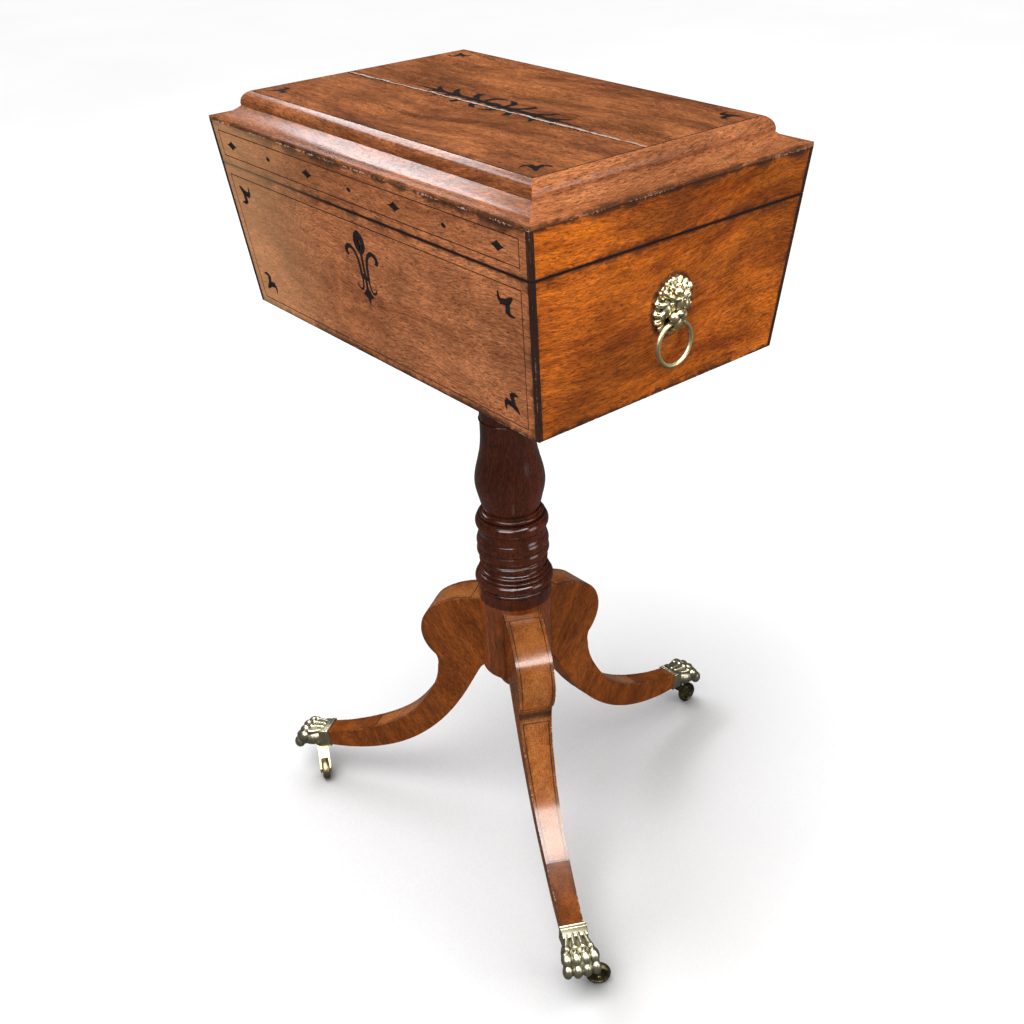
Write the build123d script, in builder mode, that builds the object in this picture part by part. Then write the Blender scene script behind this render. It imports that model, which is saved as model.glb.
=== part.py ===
from build123d import *

import os
from math import cos, pi, radians, sin, sqrt, tan

# A teapoy: a tea chest with a cove-moulded lid, on a turned pillar with three legs on castors.
# Frame: the origin is on the floor at the middle of the footprint, +X runs along the chest,
# the lock is on the -Y side and +Z is up. Sizes are in millimetres, angles in degrees.

# --- Driving dimensions -----------------------------------------------------------------

# Chest and lid
rim_length = 432.0              # over the lid's rim, along X
rim_width = 288.0               # over the lid's rim, along Y
flare = 5.7                     # lean of the sides, outwards as they rise
chest_base = 579.0              # floor to the chest's underside
body_height = 130.0             # chest without its lid
seam_gap = 0.4                  # between the chest's rim and the closed lid
frieze_height = 36.5            # lid rails
cornice_height = 23.5           # cove moulding round the top
wall = 12.0                     # boards and rails
bottom_thickness = 10.0
panel_thickness = 10.0
panel_ledge = 8.0               # how far the cornice reaches in under the panel

# Cornice section, from the rim inwards
lip_height = 3.2
lip_fillet = 1.2
cove_width = 20.0
cove_height = 8.2
cove_bow = (0.62, 0.36)         # a point of the cove, as shares of its width and height
nosing_width = 7.0
nosing_bow = (0.26, 0.68)       # a point of the nosing, as shares of its width and height

# Inlay
inlay_depth = 1.2
corner_strip = 4.0              # square ebony strip along each upright corner
line_width = 0.9
top_line_width = 1.3
side_margin = 11.0              # from the sloping corners of a face to its stringing
panel_margin_top = 8.6
panel_margin_bottom = 6.6
frieze_margin = 7.0
front_shift = -2.5              # the lock and the frieze's motifs stand a little left of the middle
motif_spacing = 121.5           # between the large diamonds of the frieze
diamond_length = 17.0
diamond_height = 8.6
lozenge_length = 5.6
front_dart_side = 27.0          # from the edges of the front to the hearts of its darts
front_dart_end = 22.5
top_dart_inset = 17.5           # from the edges of the lid panel to the hearts of its darts
arabesque_shift = (6.0, -4.0)   # the arabesque's middle on the lid
arabesque_heart = (9.0, 5.0)    # half axes of the oval in its middle

# Escutcheon and lock
key_drop = 24.5                 # chest rim to the middle of the escutcheon's bud
keyhole_radius = 2.7
keyhole_slot = 2.4
keyhole_length = 7.0
bud_height = 21.0
bud_width = 16.0
collar_drop = 30.0              # bud to the collar that ties the stems
collar_width = 12.0
collar_height = 5.0
stem_width = 3.4
spade_drop = 55.5               # bud to the point of the spade
lock_width = 46.0
lock_height = 36.0
lock_thickness = 7.6
lock_wall = 1.0
lock_setback = 5.6              # from the front face, at the rim, to the lock
bolt_length = 18.0
bolt_height = 4.4
bolt_thickness = 1.8
bolt_travel = 6.0
link_offset = 3.0               # from the middle of the lock to the link
link_thickness = 2.0
link_width = 4.0
link_drop = 11.5
link_foot = 2.6                 # metal of the link below the bolt
link_clearance = 0.6
bolt_clearance = 0.1
guide_length = 6.0
guide_wall = 1.4
link_plate_length = 34.0
link_plate_thickness = 1.4

# Hinges
hinge_spacing = 260.0
hinge_length = 44.0
leaf_depth = 9.0
leaf_thickness = 1.4
knuckle_radius = 3.0
knuckle_standoff = 0.5
knuckle_gap = 0.3
hinge_pin_radius = 1.25
running_clearance = 0.05
hinge_screw_pitch = 15.0
screw_radius = 1.2
screw_head_radius = 2.2
screw_length = 8.5

# Fittings inside
partition_thickness = 6.0
partition_spacing = 156.0       # between the middles of the two partitions
partition_height = 98.0
platform_thickness = 8.0
bowl_rim_radius = 56.0
bowl_radius = 50.0
bowl_foot_radius = 22.0
bowl_depth = 72.0
bowl_wall = 3.0
bowl_clearance = 1.5
canister_side_gap = 5.7         # from a canister to the end board and to the partition
canister_end_gap = 5.3          # from a canister to the front and back boards
canister_height = 86.0
canister_wall = 5.0
canister_lid_thickness = 7.5
canister_lid_gap = 0.3
canister_lip = 4.0
canister_lip_clearance = 0.5
knob_radius = 7.5
knob_foot_radius = 5.6
knob_neck_radius = 2.9
knob_height = 16.0

# Bearer and pillar
bearer_length = 150.0
bearer_width = 108.0
bearer_thickness = 14.0
bearer_screw_radius = 2.2
bearer_screw_inset = 15.0
tenon_radius = 16.0
neck_radius = 26.0
neck_base = 474.0
astragal_top = 486.0
astragal_height = 2.4
astragal_relief = 1.0
bulb_radius = 33.8
bulb_height = 417.0             # floor to the bulb's fullest part
waist_radius = 27.4             # under the bulb
block_radius = 36.0
block_top = 291.0
block_bottom = 205.0
collar_radius = 36.6
pillar_fillet = 12.0            # plain band between the block and the rings
pendant_radius = 20.5
pendant_end_radius = 15.4
pendant_depth = 24.0

# Legs: radii are from the pillar's axis, heights from the floor
leg_turn = 1.7                  # the tripod stands this far off square with the chest
leg_shoulder = 30.0             # flat seat of a leg on the pillar's block
leg_top = 285.0
shoulder_rise = 5.3             # bulge of a leg's top between the shoulder and the knee
knee_reach = 98.9
knee_height = 236.0
knee_half = 30.0                # half the height of the knee's scroll
knee_round = 13.5               # how far the scroll draws in above and below
notch_reach = 84.2
notch_height = 197.5
notch_half = 5.5
notch_depth = 0.8
seat_drop = 1.0                 # a leg's seat reaches this far below the block
tongue_stop = 11.0              # from a leg's top down to the head of its tongue
toe_reach = 240.0
toe_top = 59.5
toe_thickness = 15.0
toe_fall = 0.25                 # slope of a leg's top where it runs into its paw
knee_width = 36.0
toe_width = 21.5
tongue_depth = 12.0
tongue_neck = 13.0
tongue_flare = 3.0

# Paws and castors
sleeve_lap = 12.0               # how far a paw's sleeve reaches back over the leg's toe
sleeve_wall = 1.7
paw_length = 35.0               # from the end of the wood to the tip of a toe
paw_width = 37.0
pad_depth = 6.5                 # from the leg's underside to the paw's flat base
toe_count = 4
knuckle_size = 5.3              # radius of a toe at its knuckle
claw_size = 4.4                 # radius of a toe at its end
toe_spread = 9.2                # from one toe to the next, at their ends
toe_drop = 4.0                  # how far the toes' ends reach below the paw's flat base
swivel_offset = 6.0             # from the end of the wood to the castor's swivel axis
stem_radius = 3.5
stem_length = 13.0              # of a castor's stem inside its paw
shoulder_radius = 7.5
shoulder_thickness = 2.7
swivel_gap = 0.3
castor_trail = 20.0
wheel_radius = 12.0
wheel_width = 7.6
wheel_side_gap = 0.5
tread_crown = 1.6
web_recess = 1.2
hub_radius = 4.8
cheek_thickness = 1.8
cheek_radius = 4.4
axle_radius = 2.0
axle_head = 0.6                 # how far an axle stands out of its fork
castor_headings = {"back": 92.0, "front_left": -28.0, "front_right": 52.0}

# Lion masks and rings
mask_height = 50.0
mask_width = 42.0
mask_drop = 55.5                # chest rim to the middle of a mask
mask_plate = 3.0
mask_taper = 1.5
mane_locks = 14
lock_size = 4.6                 # radius of a lock of the mane
face_width = 31.0
face_relief = 7.4
brow_size = 4.0
brow_apart = 5.2                # from the middle line to the middle of a brow
brow_rise = 11.0                # above the middle of the mask
eye_size = 2.4
eye_apart = 6.2
eye_rise = 5.0
nose_width = 5.6
snout_width = 15.0
snout_height = 15.0
snout_web = 1.6                 # metal in front of the ring's hole
snout_drop = 12.2               # middle of the mask to the ring's hinge axis
ring_standoff = 5.4             # from the chest to the ring's hinge axis
ring_radius = 17.9              # to the middle of the wire
ring_wire = 2.1
ring_clearance = 0.4

# --- Sizes that follow ------------------------------------------------------------------

seam = chest_base + body_height
rail_base = seam + seam_gap
rim = rail_base + frieze_height
top = rim + cornice_height
lean = tan(radians(flare))
slope_length = sqrt(1 + lean**2)                # along a sloping face, for each unit of height
half_spine = (rim_length - rim_width) / 2      # the mitres of an end meet this far along X
well = 2 * rim_length                          # larger than anything it is cut from
cornice_width = lip_fillet + cove_width + nosing_width
floor_of_case = chest_base + bottom_thickness
partition_top = floor_of_case + partition_height
platform_base = partition_top - platform_thickness
leg_angles = {"back": 90.0, "front_left": -150.0, "front_right": -30.0}
paw_heel = toe_reach - sleeve_lap
paw_reach = toe_reach + paw_length
paw_base = toe_top - toe_thickness - pad_depth
swivel_reach = toe_reach + swivel_offset
stem_top = paw_base + stem_length
front_half_angle = radians(30.0 + leg_turn)
front_reach = (paw_reach - paw_width / 4) * sin(front_half_angle) + paw_width / 2 * cos(front_half_angle)
back_reach = swivel_reach + castor_trail + wheel_radius
side_skew = paw_reach * (cos(radians(30.0 - leg_turn)) - cos(front_half_angle)) / 2
pillar_x = -side_skew
pillar_y = -(back_reach - front_reach) / 2

sides = {
    "front": Vector(0, -1, 0),
    "back": Vector(0, 1, 0),
    "left": Vector(-1, 0, 0),
    "right": Vector(1, 0, 0),
}


def half_length(height):
    """Half the chest's length, over its sloping ends, at a height."""
    return rim_length / 2 - lean * (rim - height)


def half_width(height):
    """Half the chest's width, over its sloping front and back, at a height."""
    return rim_width / 2 - lean * (rim - height)


def level(height):
    """Horizontal plane at a height, its origin on the pillar's axis."""
    return Plane((pillar_x, pillar_y, height))


def side_plane(side, height):
    """Plane on a side's sloping outer face, its origin on the face's middle line."""
    outward = sides[side]
    reach = half_length(height) if outward.X else half_width(height)
    origin = (pillar_x + outward.X * reach, pillar_y + outward.Y * reach, height)
    return Plane(origin, x_dir=(-outward.Y, outward.X, 0), z_dir=(outward.X, outward.Y, -lean))


def upright_plane(angle, reach=0.0):
    """Upright plane through the axis along a direction, local X outwards and local Y up."""
    along = Vector(cos(radians(angle)), sin(radians(angle)), 0)
    origin = (pillar_x + along.X * reach, pillar_y + along.Y * reach, 0)
    return Plane(origin, x_dir=along, z_dir=(along.Y, -along.X, 0))


def cross_plane(angle, reach):
    """Upright plane square to a direction, local X across it and local Y up."""
    along = Vector(cos(radians(angle)), sin(radians(angle)), 0)
    origin = (pillar_x + along.X * reach, pillar_y + along.Y * reach, 0)
    return Plane(origin, x_dir=(-along.Y, along.X, 0), z_dir=along)


def save(part, name):
    """Label a finished piece and write its STEP file."""
    part.label = name
    export_step(part, f"parts/{name}.step")


os.makedirs("parts", exist_ok=True)

# --- Shared forms of the chest ----------------------------------------------------------


def flared_block(low, high, inset=0.0):
    """Block between two heights with the chest's sloping sides, set in from its faces."""
    with BuildPart() as block:
        for height in (low, high):
            with BuildSketch(level(height)):
                Rectangle(2 * (half_length(height) - inset), 2 * (half_width(height) - inset))
        loft(ruled=True)
    return block.part


def side_wedge(side, low, high):
    """Upright prism between the two mitres of one side."""
    outward = sides[side]
    if outward.Y:
        outline = [
            (-half_spine - well, outward.Y * well),
            (half_spine + well, outward.Y * well),
            (half_spine, 0),
            (-half_spine, 0),
        ]
    else:
        outline = [
            (outward.X * half_spine, 0),
            (outward.X * (half_spine + well), -well),
            (outward.X * (half_spine + well), well),
        ]
    with BuildPart() as wedge:
        with BuildSketch(level(low)):
            Polygon(*outline)
        extrude(amount=high - low)
    return wedge.part


def corner_strips(low, high):
    """Four ebony strips let into the upright corners between two heights."""
    with BuildPart() as strips:
        for across, deep in ((1, 1), (1, -1), (-1, 1), (-1, -1)):
            with BuildPart(mode=Mode.PRIVATE) as strip:
                for height in (low, high):
                    middle = Vector(
                        across * (half_length(height) - corner_strip / 2),
                        deep * (half_width(height) - corner_strip / 2),
                    )
                    with BuildSketch(level(height)):
                        with Locations(middle):
                            Rectangle(corner_strip, corner_strip)
                loft(ruled=True)
            add(strip.part)
    return strips.part


def front_frame(low, high, margin_low, margin_high):
    """Closed line of stringing let into the front between two heights, inside its margins."""

    def outline(extra):
        bottom = low + margin_low + extra
        upper = high - margin_high - extra
        inset = side_margin + extra
        return [
            (-(half_length(bottom) - inset), (bottom - low) * slope_length),
            (half_length(bottom) - inset, (bottom - low) * slope_length),
            (half_length(upper) - inset, (upper - low) * slope_length),
            (-(half_length(upper) - inset), (upper - low) * slope_length),
        ]

    with BuildPart() as frame:
        with BuildSketch(side_plane("front", low)):
            Polygon(*outline(0.0))
            Polygon(*outline(line_width), mode=Mode.SUBTRACT)
        extrude(amount=-inlay_depth)
    return frame.part


# --- Inlays of the front and the lid ----------------------------------------------------

carcass_strips = corner_strips(chest_base, seam)
lid_strips = corner_strips(rail_base, rim)
front_line = front_frame(chest_base, seam, panel_margin_bottom, panel_margin_top)
frieze_line = front_frame(rail_base, rim, frieze_margin, frieze_margin)


def stroke(*stations):
    """Flat tapered stroke along a smooth line; each station is its place and width (x, y, width)."""
    centre = [Vector(x, y) for x, y, width in stations]
    last = len(centre) - 1
    left = []
    right = []
    for i in range(len(centre)):
        along = centre[min(i + 1, last)] - centre[max(i - 1, 0)]
        across = Vector(-along.Y, along.X).normalized() * (stations[i][2] / 2)
        left.append(centre[i] + across)
        right.append(centre[i] - across)
    with BuildSketch() as shape:
        with BuildLine():
            Spline(*left)
            Line(left[-1], right[-1])
            Spline(*reversed(right))
            Line(right[0], left[0])
        make_face()
    return shape.sketch


def dart(along, up):
    """Flat three-lobed dart that points into a corner, its two arms ending in curled tails."""
    arm = [(1.0, 0.5, 4.4), (-4.5, -0.6, 5.2), (-9.6, -1.2, 5.0)]
    tail = [(-8.4, -0.8, 4.4), (-9.8, 2.8, 3.0), (-9.4, 7.0, 0.9)]
    point = [(-1.5, -1.5, 6.0), (2.5, 2.2, 4.6), (6.2, 5.0, 1.4)]
    with BuildSketch() as shape:
        add(stroke(*[(along * x, up * y, width) for x, y, width in point]))
        for lobe in (arm, tail):
            add(stroke(*[(along * x, up * y, width) for x, y, width in lobe]))
            add(stroke(*[(along * y, up * x, width) for x, y, width in lobe]))
    return shape.sketch


front_darts = []
for up, height in ((-1, chest_base + front_dart_end), (1, seam - front_dart_end)):
    for along in (-1, 1):
        place = (along * (half_length(height) - front_dart_side), (height - chest_base) * slope_length)
        front_darts.append((place, dart(along, up)))
with BuildPart() as front_corner_darts:
    with BuildSketch(side_plane("front", chest_base)):
        for place, shape in front_darts:
            with Locations(place):
                add(shape)
    extrude(amount=-inlay_depth)

frieze_middle = (rail_base + rim) / 2
with BuildPart() as frieze_diamonds:
    with BuildSketch(side_plane("front", frieze_middle)):
        for place in (-1.5, -0.5, 0.5, 1.5):
            middle = front_shift + place * motif_spacing
            left = (middle - diamond_length / 2, 0)
            right = (middle + diamond_length / 2, 0)
            upper = (middle, diamond_height / 2)
            lower = (middle, -diamond_height / 2)
            with BuildLine():
                RadiusArc(left, upper, -diamond_length)
                RadiusArc(upper, right, -diamond_length)
                RadiusArc(right, lower, -diamond_length)
                RadiusArc(lower, left, -diamond_length)
            make_face()
        for place in (-1, 0, 1):
            with Locations((front_shift + place * motif_spacing, 0)):
                Ellipse(lozenge_length / 2, lozenge_length / 3)
    extrude(amount=-inlay_depth)

# Escutcheon: a fleur-de-lis with the keyhole in its bud, drawn from the middle of the bud
key_height = seam - key_drop
petal = [
    (4.6, -collar_drop, stem_width),
    (5.4, -19.0, stem_width),
    (8.6, -10.5, stem_width),
    (15.0, -6.4, 1.2 * stem_width),
    (20.8, -9.2, 1.3 * stem_width),
    (19.0, -14.8, 1.3 * stem_width),
]
scroll = [
    (4.4, -collar_drop, 0.7 * stem_width),
    (5.0, -37.0, 0.7 * stem_width),
    (8.0, -42.0, 0.7 * stem_width),
    (12.2, -40.4, 0.6 * stem_width),
    (11.8, -36.8, 0.4 * stem_width),
]
spade_half = [(stem_width / 2, -40.0), (7.5, -46.0), (2.5, -48.5)]
spade_start = 1 - bud_height / 2               # a little way inside the bud

with BuildSketch() as fleur_de_lis:
    with BuildLine():
        ThreePointArc((0, bud_height / 2), (bud_width / 2, 0), (0, -bud_height / 2))
        ThreePointArc((0, -bud_height / 2), (-bud_width / 2, 0), (0, bud_height / 2))
    make_face()
    for hand in (-1, 1):
        for branch in (petal, scroll):
            add(stroke(*[(hand * x, y, width) for x, y, width in branch]))
    with Locations((0, -collar_drop)):
        Rectangle(collar_width, collar_height)
    Polygon(
        (stem_width / 2, spade_start),
        *spade_half,
        (0, -spade_drop),
        *[(-x, y) for x, y in reversed(spade_half)],
        (-stem_width / 2, spade_start),
    )


with BuildSketch() as keyhole:
    Circle(keyhole_radius)
    with Locations((0, -keyhole_length / 2)):
        Rectangle(keyhole_slot, keyhole_length)


def keyhole_prism(distance, depth):
    """Keyhole-shaped prism running inwards from a distance in front of the axis."""
    plane = Plane(
        (pillar_x + front_shift, pillar_y - distance, key_height), x_dir=(1, 0, 0), z_dir=(0, -1, 0)
    )
    with BuildPart() as prism:
        with BuildSketch(plane):
            add(keyhole.sketch)
        extrude(amount=-depth)
    return prism.part


with BuildPart() as escutcheon:
    with BuildSketch(side_plane("front", key_height)):
        with Locations((front_shift, 0)):
            add(fleur_de_lis.sketch)
    extrude(amount=-inlay_depth)
escutcheon_recess = escutcheon.part
with BuildPart() as pierced_escutcheon:
    add(escutcheon_recess)
    add(keyhole_prism(rim_width / 2, wall), mode=Mode.SUBTRACT)

# --- Lock -------------------------------------------------------------------------------

lock_front = half_width(seam) - lock_setback
lock_middle = lock_front - lock_thickness / 2
lock_base = seam - lock_height
cavity_thickness = lock_thickness - 2 * lock_wall
link_base = seam - link_drop
bolt_base = link_base + link_foot


def lock_level(height):
    """Horizontal plane at a height, its origin on the middle of the lock case."""
    return Plane((pillar_x + front_shift, pillar_y - lock_middle, height))


def lock_block(base, x, length, depth, height):
    """Upright block of the lock, its middle at x along the case."""
    with BuildPart() as block:
        with BuildSketch(lock_level(base)):
            with Locations((x, 0)):
                Rectangle(length, depth)
        extrude(amount=height)
    return block.part


bolt_middle = link_offset - link_thickness - bolt_length / 2
guide_middle = bolt_middle + bolt_travel / 2
guide_height = bolt_height + 2 * guide_wall
slot_length = 2 * link_width
recess_depth = wall - lock_setback + lock_thickness

with BuildPart() as lock_recess:
    with BuildSketch(lock_level(lock_base)):
        with Locations((0, (recess_depth - lock_thickness) / 2)):
            Rectangle(lock_width, recess_depth)
    extrude(amount=lock_height)

with BuildPart() as lock_case:
    add(lock_block(lock_base, 0, lock_width, lock_thickness, lock_height))
    cavity = (lock_width - 2 * lock_wall, cavity_thickness, lock_height - 2 * lock_wall)
    add(lock_block(lock_base + lock_wall, 0, *cavity), mode=Mode.SUBTRACT)
    slot = (slot_length, link_width + 2 * link_clearance, lock_wall)
    add(lock_block(seam - lock_wall, link_offset, *slot), mode=Mode.SUBTRACT)
    add(lock_block(bolt_base - guide_wall, guide_middle, guide_length, cavity_thickness, guide_height))
    bolt_hole = (guide_length, bolt_thickness + 2 * bolt_clearance, bolt_height + 2 * bolt_clearance)
    add(lock_block(bolt_base - bolt_clearance, guide_middle, *bolt_hole), mode=Mode.SUBTRACT)
    add(keyhole_prism(lock_front, lock_wall), mode=Mode.SUBTRACT)

with BuildPart() as lock_bolt:
    add(lock_block(bolt_base, bolt_middle, bolt_length, bolt_thickness, bolt_height))
    chamfer(lock_bolt.edges().group_by(Axis.X)[-1].filter_by(Axis.Z), bolt_thickness / 4)

with BuildPart() as link_plate:
    add(lock_block(rail_base, 0, link_plate_length, link_width + 2, link_plate_thickness))
    add(lock_block(link_base, link_offset, link_thickness, link_width, link_drop + seam_gap))
    window = (bolt_thickness + 2 * link_clearance, bolt_height + 2 * link_clearance)
    add(lock_block(bolt_base - link_clearance, link_offset, slot_length, *window), mode=Mode.SUBTRACT)

# --- Hinges -----------------------------------------------------------------------------

hinge_axis_y = half_width(seam) + knuckle_standoff + knuckle_radius
hinge_axis_z = seam + seam_gap / 2
hinge_places = (-hinge_spacing / 2, hinge_spacing / 2)
centre_knuckle = hinge_length / 3
leaf_inner = half_width(seam) - leaf_depth


def hinge_cylinder(place, start, length, radius):
    """Cylinder on a hinge's axis, from a start beside the hinge's middle."""
    plane = Plane(
        (pillar_x + place + start, pillar_y + hinge_axis_y, hinge_axis_z), x_dir=(0, 1, 0), z_dir=(1, 0, 0)
    )
    with BuildPart() as cylinder:
        with BuildSketch(plane):
            Circle(radius)
        extrude(amount=length)
    return cylinder.part


def leaf_plate(place, base, start, length, outer):
    """Flat part of a hinge leaf, from its inner edge out to a distance from the axis."""
    with BuildPart() as plate:
        with BuildSketch(level(base)):
            with Locations((place + start + length / 2, (leaf_inner + outer) / 2)):
                Rectangle(length, outer - leaf_inner)
        extrude(amount=leaf_thickness)
    return plate.part


def screws(points, head_height, direction, radius, head_radius, length):
    """Countersunk screws with their heads flush at a height and shanks along a direction."""
    with BuildPart() as group:
        for point in points:
            head = Plane((pillar_x + point[0], pillar_y + point[1], head_height), z_dir=(0, 0, direction))
            with BuildSketch(head):
                Circle(head_radius)
            with BuildSketch(head.offset(head_radius - radius)):
                Circle(radius)
            loft()
            with BuildSketch(head.offset(head_radius - radius)):
                Circle(radius)
            extrude(amount=length - head_radius + radius)
    return group.part


screw_points = [
    (place + step * hinge_screw_pitch, half_width(seam) - leaf_depth / 2)
    for place in hinge_places
    for step in (-1, 0, 1)
]
carcass_hinge_screws = screws(screw_points, seam, -1, screw_radius, screw_head_radius, screw_length)
lid_hinge_screws = screws(screw_points, rail_base, 1, screw_radius, screw_head_radius, screw_length)

outer_knuckle = (hinge_length - centre_knuckle) / 2 - knuckle_gap
bore_radius = hinge_pin_radius + running_clearance
with BuildPart() as carcass_hinge_leaves:
    for place in hinge_places:
        add(leaf_plate(place, seam - leaf_thickness, -hinge_length / 2, hinge_length, half_width(seam)))
        for start in (-hinge_length / 2, hinge_length / 2 - outer_knuckle):
            add(leaf_plate(place, seam - leaf_thickness, start, outer_knuckle, hinge_axis_y))
            add(hinge_cylinder(place, start, outer_knuckle, knuckle_radius))
        add(hinge_cylinder(place, -hinge_length, 2 * hinge_length, bore_radius), mode=Mode.SUBTRACT)
    add(carcass_hinge_screws, mode=Mode.SUBTRACT)

with BuildPart() as lid_hinge_leaves:
    for place in hinge_places:
        add(leaf_plate(place, rail_base, -hinge_length / 2, hinge_length, half_width(seam)))
        add(leaf_plate(place, rail_base, -centre_knuckle / 2, centre_knuckle, hinge_axis_y))
        add(hinge_cylinder(place, -centre_knuckle / 2, centre_knuckle, knuckle_radius))
        add(hinge_cylinder(place, -hinge_length, 2 * hinge_length, bore_radius), mode=Mode.SUBTRACT)
    add(lid_hinge_screws, mode=Mode.SUBTRACT)

with BuildPart() as hinge_pins:
    for place in hinge_places:
        add(hinge_cylinder(place, -hinge_length / 2, hinge_length, hinge_pin_radius))

# --- Chest ------------------------------------------------------------------------------

mask_middle = seam - mask_drop

for side in sides:
    with BuildPart() as board:
        add(flared_block(chest_base, seam))
        add(flared_block(chest_base, seam, wall), mode=Mode.SUBTRACT)
        add(side_wedge(side, chest_base, seam), mode=Mode.INTERSECT)
        add(carcass_strips, mode=Mode.SUBTRACT)
        if side == "front":
            for let_in in (front_line, front_corner_darts.part, escutcheon_recess, lock_recess.part):
                add(let_in, mode=Mode.SUBTRACT)
            add(keyhole_prism(rim_width / 2, wall), mode=Mode.SUBTRACT)
        if side == "back":
            for let_in in (carcass_hinge_leaves.part, carcass_hinge_screws):
                add(let_in, mode=Mode.SUBTRACT)
    save(board.part, f"carcass_{side}")

with BuildPart() as carcass_bottom:
    add(flared_block(chest_base, floor_of_case, wall))

# --- Lid --------------------------------------------------------------------------------

link_recess = lock_block(rail_base, 0, link_plate_length, link_width + 2, link_plate_thickness)
for side in sides:
    with BuildPart() as rail:
        add(flared_block(rail_base, rim))
        add(flared_block(rail_base, rim, wall), mode=Mode.SUBTRACT)
        add(side_wedge(side, rail_base, rim), mode=Mode.INTERSECT)
        add(lid_strips, mode=Mode.SUBTRACT)
        if side == "front":
            for let_in in (frieze_line, frieze_diamonds.part, link_recess):
                add(let_in, mode=Mode.SUBTRACT)
        if side == "back":
            for let_in in (lid_hinge_leaves.part, lid_hinge_screws):
                add(let_in, mode=Mode.SUBTRACT)
    save(rail.part, f"lid_{side}_rail")

# Cornice: a lip, a wide shallow cove and a round nosing up to the panel
panel_base = top - panel_thickness
cornice_inner = cornice_width + panel_ledge


def cornice_length(side):
    """One length of cornice, mitred at both ends, its section drawn from the rim inwards."""
    outward = sides[side]
    half_span = rim_length / 2 if outward.X else rim_width / 2
    section_plane = Plane(
        (pillar_x - outward.Y * well, pillar_y + outward.X * well, rim),
        x_dir=outward,
        z_dir=(outward.Y, -outward.X, 0),
    )
    ledge_height = cornice_height - panel_thickness
    nosing_base = lip_height + cove_height
    nosing_height = cornice_height - nosing_base
    cove_start = half_span - lip_fillet
    cove_end = cove_start - cove_width
    with BuildPart() as length:
        with BuildSketch(section_plane):
            with BuildLine():
                Polyline(
                    (half_span - cornice_width, cornice_height),
                    (half_span - cornice_width, ledge_height),
                    (half_span - cornice_inner, ledge_height),
                    (half_span - cornice_inner, 0),
                    (half_span, 0),
                    (half_span, lip_height),
                    (cove_start, lip_height),
                )
                ThreePointArc(
                    (cove_start, lip_height),
                    (cove_start - cove_bow[0] * cove_width, lip_height + cove_bow[1] * cove_height),
                    (cove_end, nosing_base),
                )
                ThreePointArc(
                    (cove_end, nosing_base),
                    (cove_end - nosing_bow[0] * nosing_width, nosing_base + nosing_bow[1] * nosing_height),
                    (half_span - cornice_width, cornice_height),
                )
            make_face()
        extrude(amount=2 * well)
        add(side_wedge(side, rim, top), mode=Mode.INTERSECT)
    return length.part


with BuildPart() as top_stringing:
    panel_length = rim_length - 2 * cornice_width
    panel_width = rim_width - 2 * cornice_width
    with BuildSketch(level(top)):
        Rectangle(panel_length, panel_width)
        Rectangle(panel_length - 2 * top_line_width, panel_width - 2 * top_line_width, mode=Mode.SUBTRACT)
    extrude(amount=-inlay_depth)

# Inlays of the top: a spray of curled leaves in the middle and a dart in each corner
leaves = [
    [(0.0, 0.0, 6.0), (50.0, 0.0, 5.6), (106.0, 0.0, 1.2)],
    [(12.0, 0.0, 4.4), (13.5, 10.0, 6.6), (2.0, 17.5, 2.4)],
    [(20.0, 1.0, 3.8), (31.0, 8.0, 5.8), (35.0, 17.0, 7.2)],
    [(40.0, 0.5, 3.6), (56.0, 5.5, 5.6), (64.0, 16.0, 2.6)],
    [(60.0, 0.5, 3.4), (76.0, 3.5, 4.8), (84.0, 10.5, 2.0)],
]
with BuildSketch() as arabesque:
    Ellipse(*arabesque_heart)
    for along in (-1, 1):
        for deep in (-1, 1):
            for leaf in leaves:
                add(stroke(*[(along * x, deep * y, width) for x, y, width in leaf]))

with BuildPart() as top_inlays:
    with BuildSketch(level(top)):
        with Locations(arabesque_shift):
            add(arabesque.sketch)
        for across in (-1, 1):
            for deep in (-1, 1):
                dart_x = across * (panel_length / 2 - top_dart_inset)
                dart_y = deep * (panel_width / 2 - top_dart_inset)
                with Locations((dart_x, dart_y)):
                    add(dart(across, deep))
    extrude(amount=-inlay_depth)

with BuildPart() as lid_panel:
    with BuildSketch(level(panel_base)):
        Rectangle(panel_length, panel_width)
    extrude(amount=panel_thickness)
    add(top_stringing.part, mode=Mode.SUBTRACT)
    add(top_inlays.part, mode=Mode.SUBTRACT)

with BuildPart() as cornice_long_sides:
    add(cornice_length("front"))
    add(cornice_length("back"))

with BuildPart() as cornice_short_sides:
    add(cornice_length("left"))
    add(cornice_length("right"))

# --- Fittings inside --------------------------------------------------------------------

partition_places = (-partition_spacing / 2, partition_spacing / 2)
with BuildPart() as partitions:
    with BuildSketch(level(floor_of_case)):
        with Locations(*[(place, 0) for place in partition_places]):
            Rectangle(partition_thickness, well)
    extrude(amount=partition_height)
    add(flared_block(floor_of_case, partition_top, wall), mode=Mode.INTERSECT)

with BuildPart() as bowl_platform:
    with BuildSketch(level(platform_base)):
        Rectangle(partition_spacing - partition_thickness, well)
        Circle(bowl_radius + bowl_clearance, mode=Mode.SUBTRACT)
    extrude(amount=platform_thickness)
    add(flared_block(platform_base, partition_top, wall), mode=Mode.INTERSECT)

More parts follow.
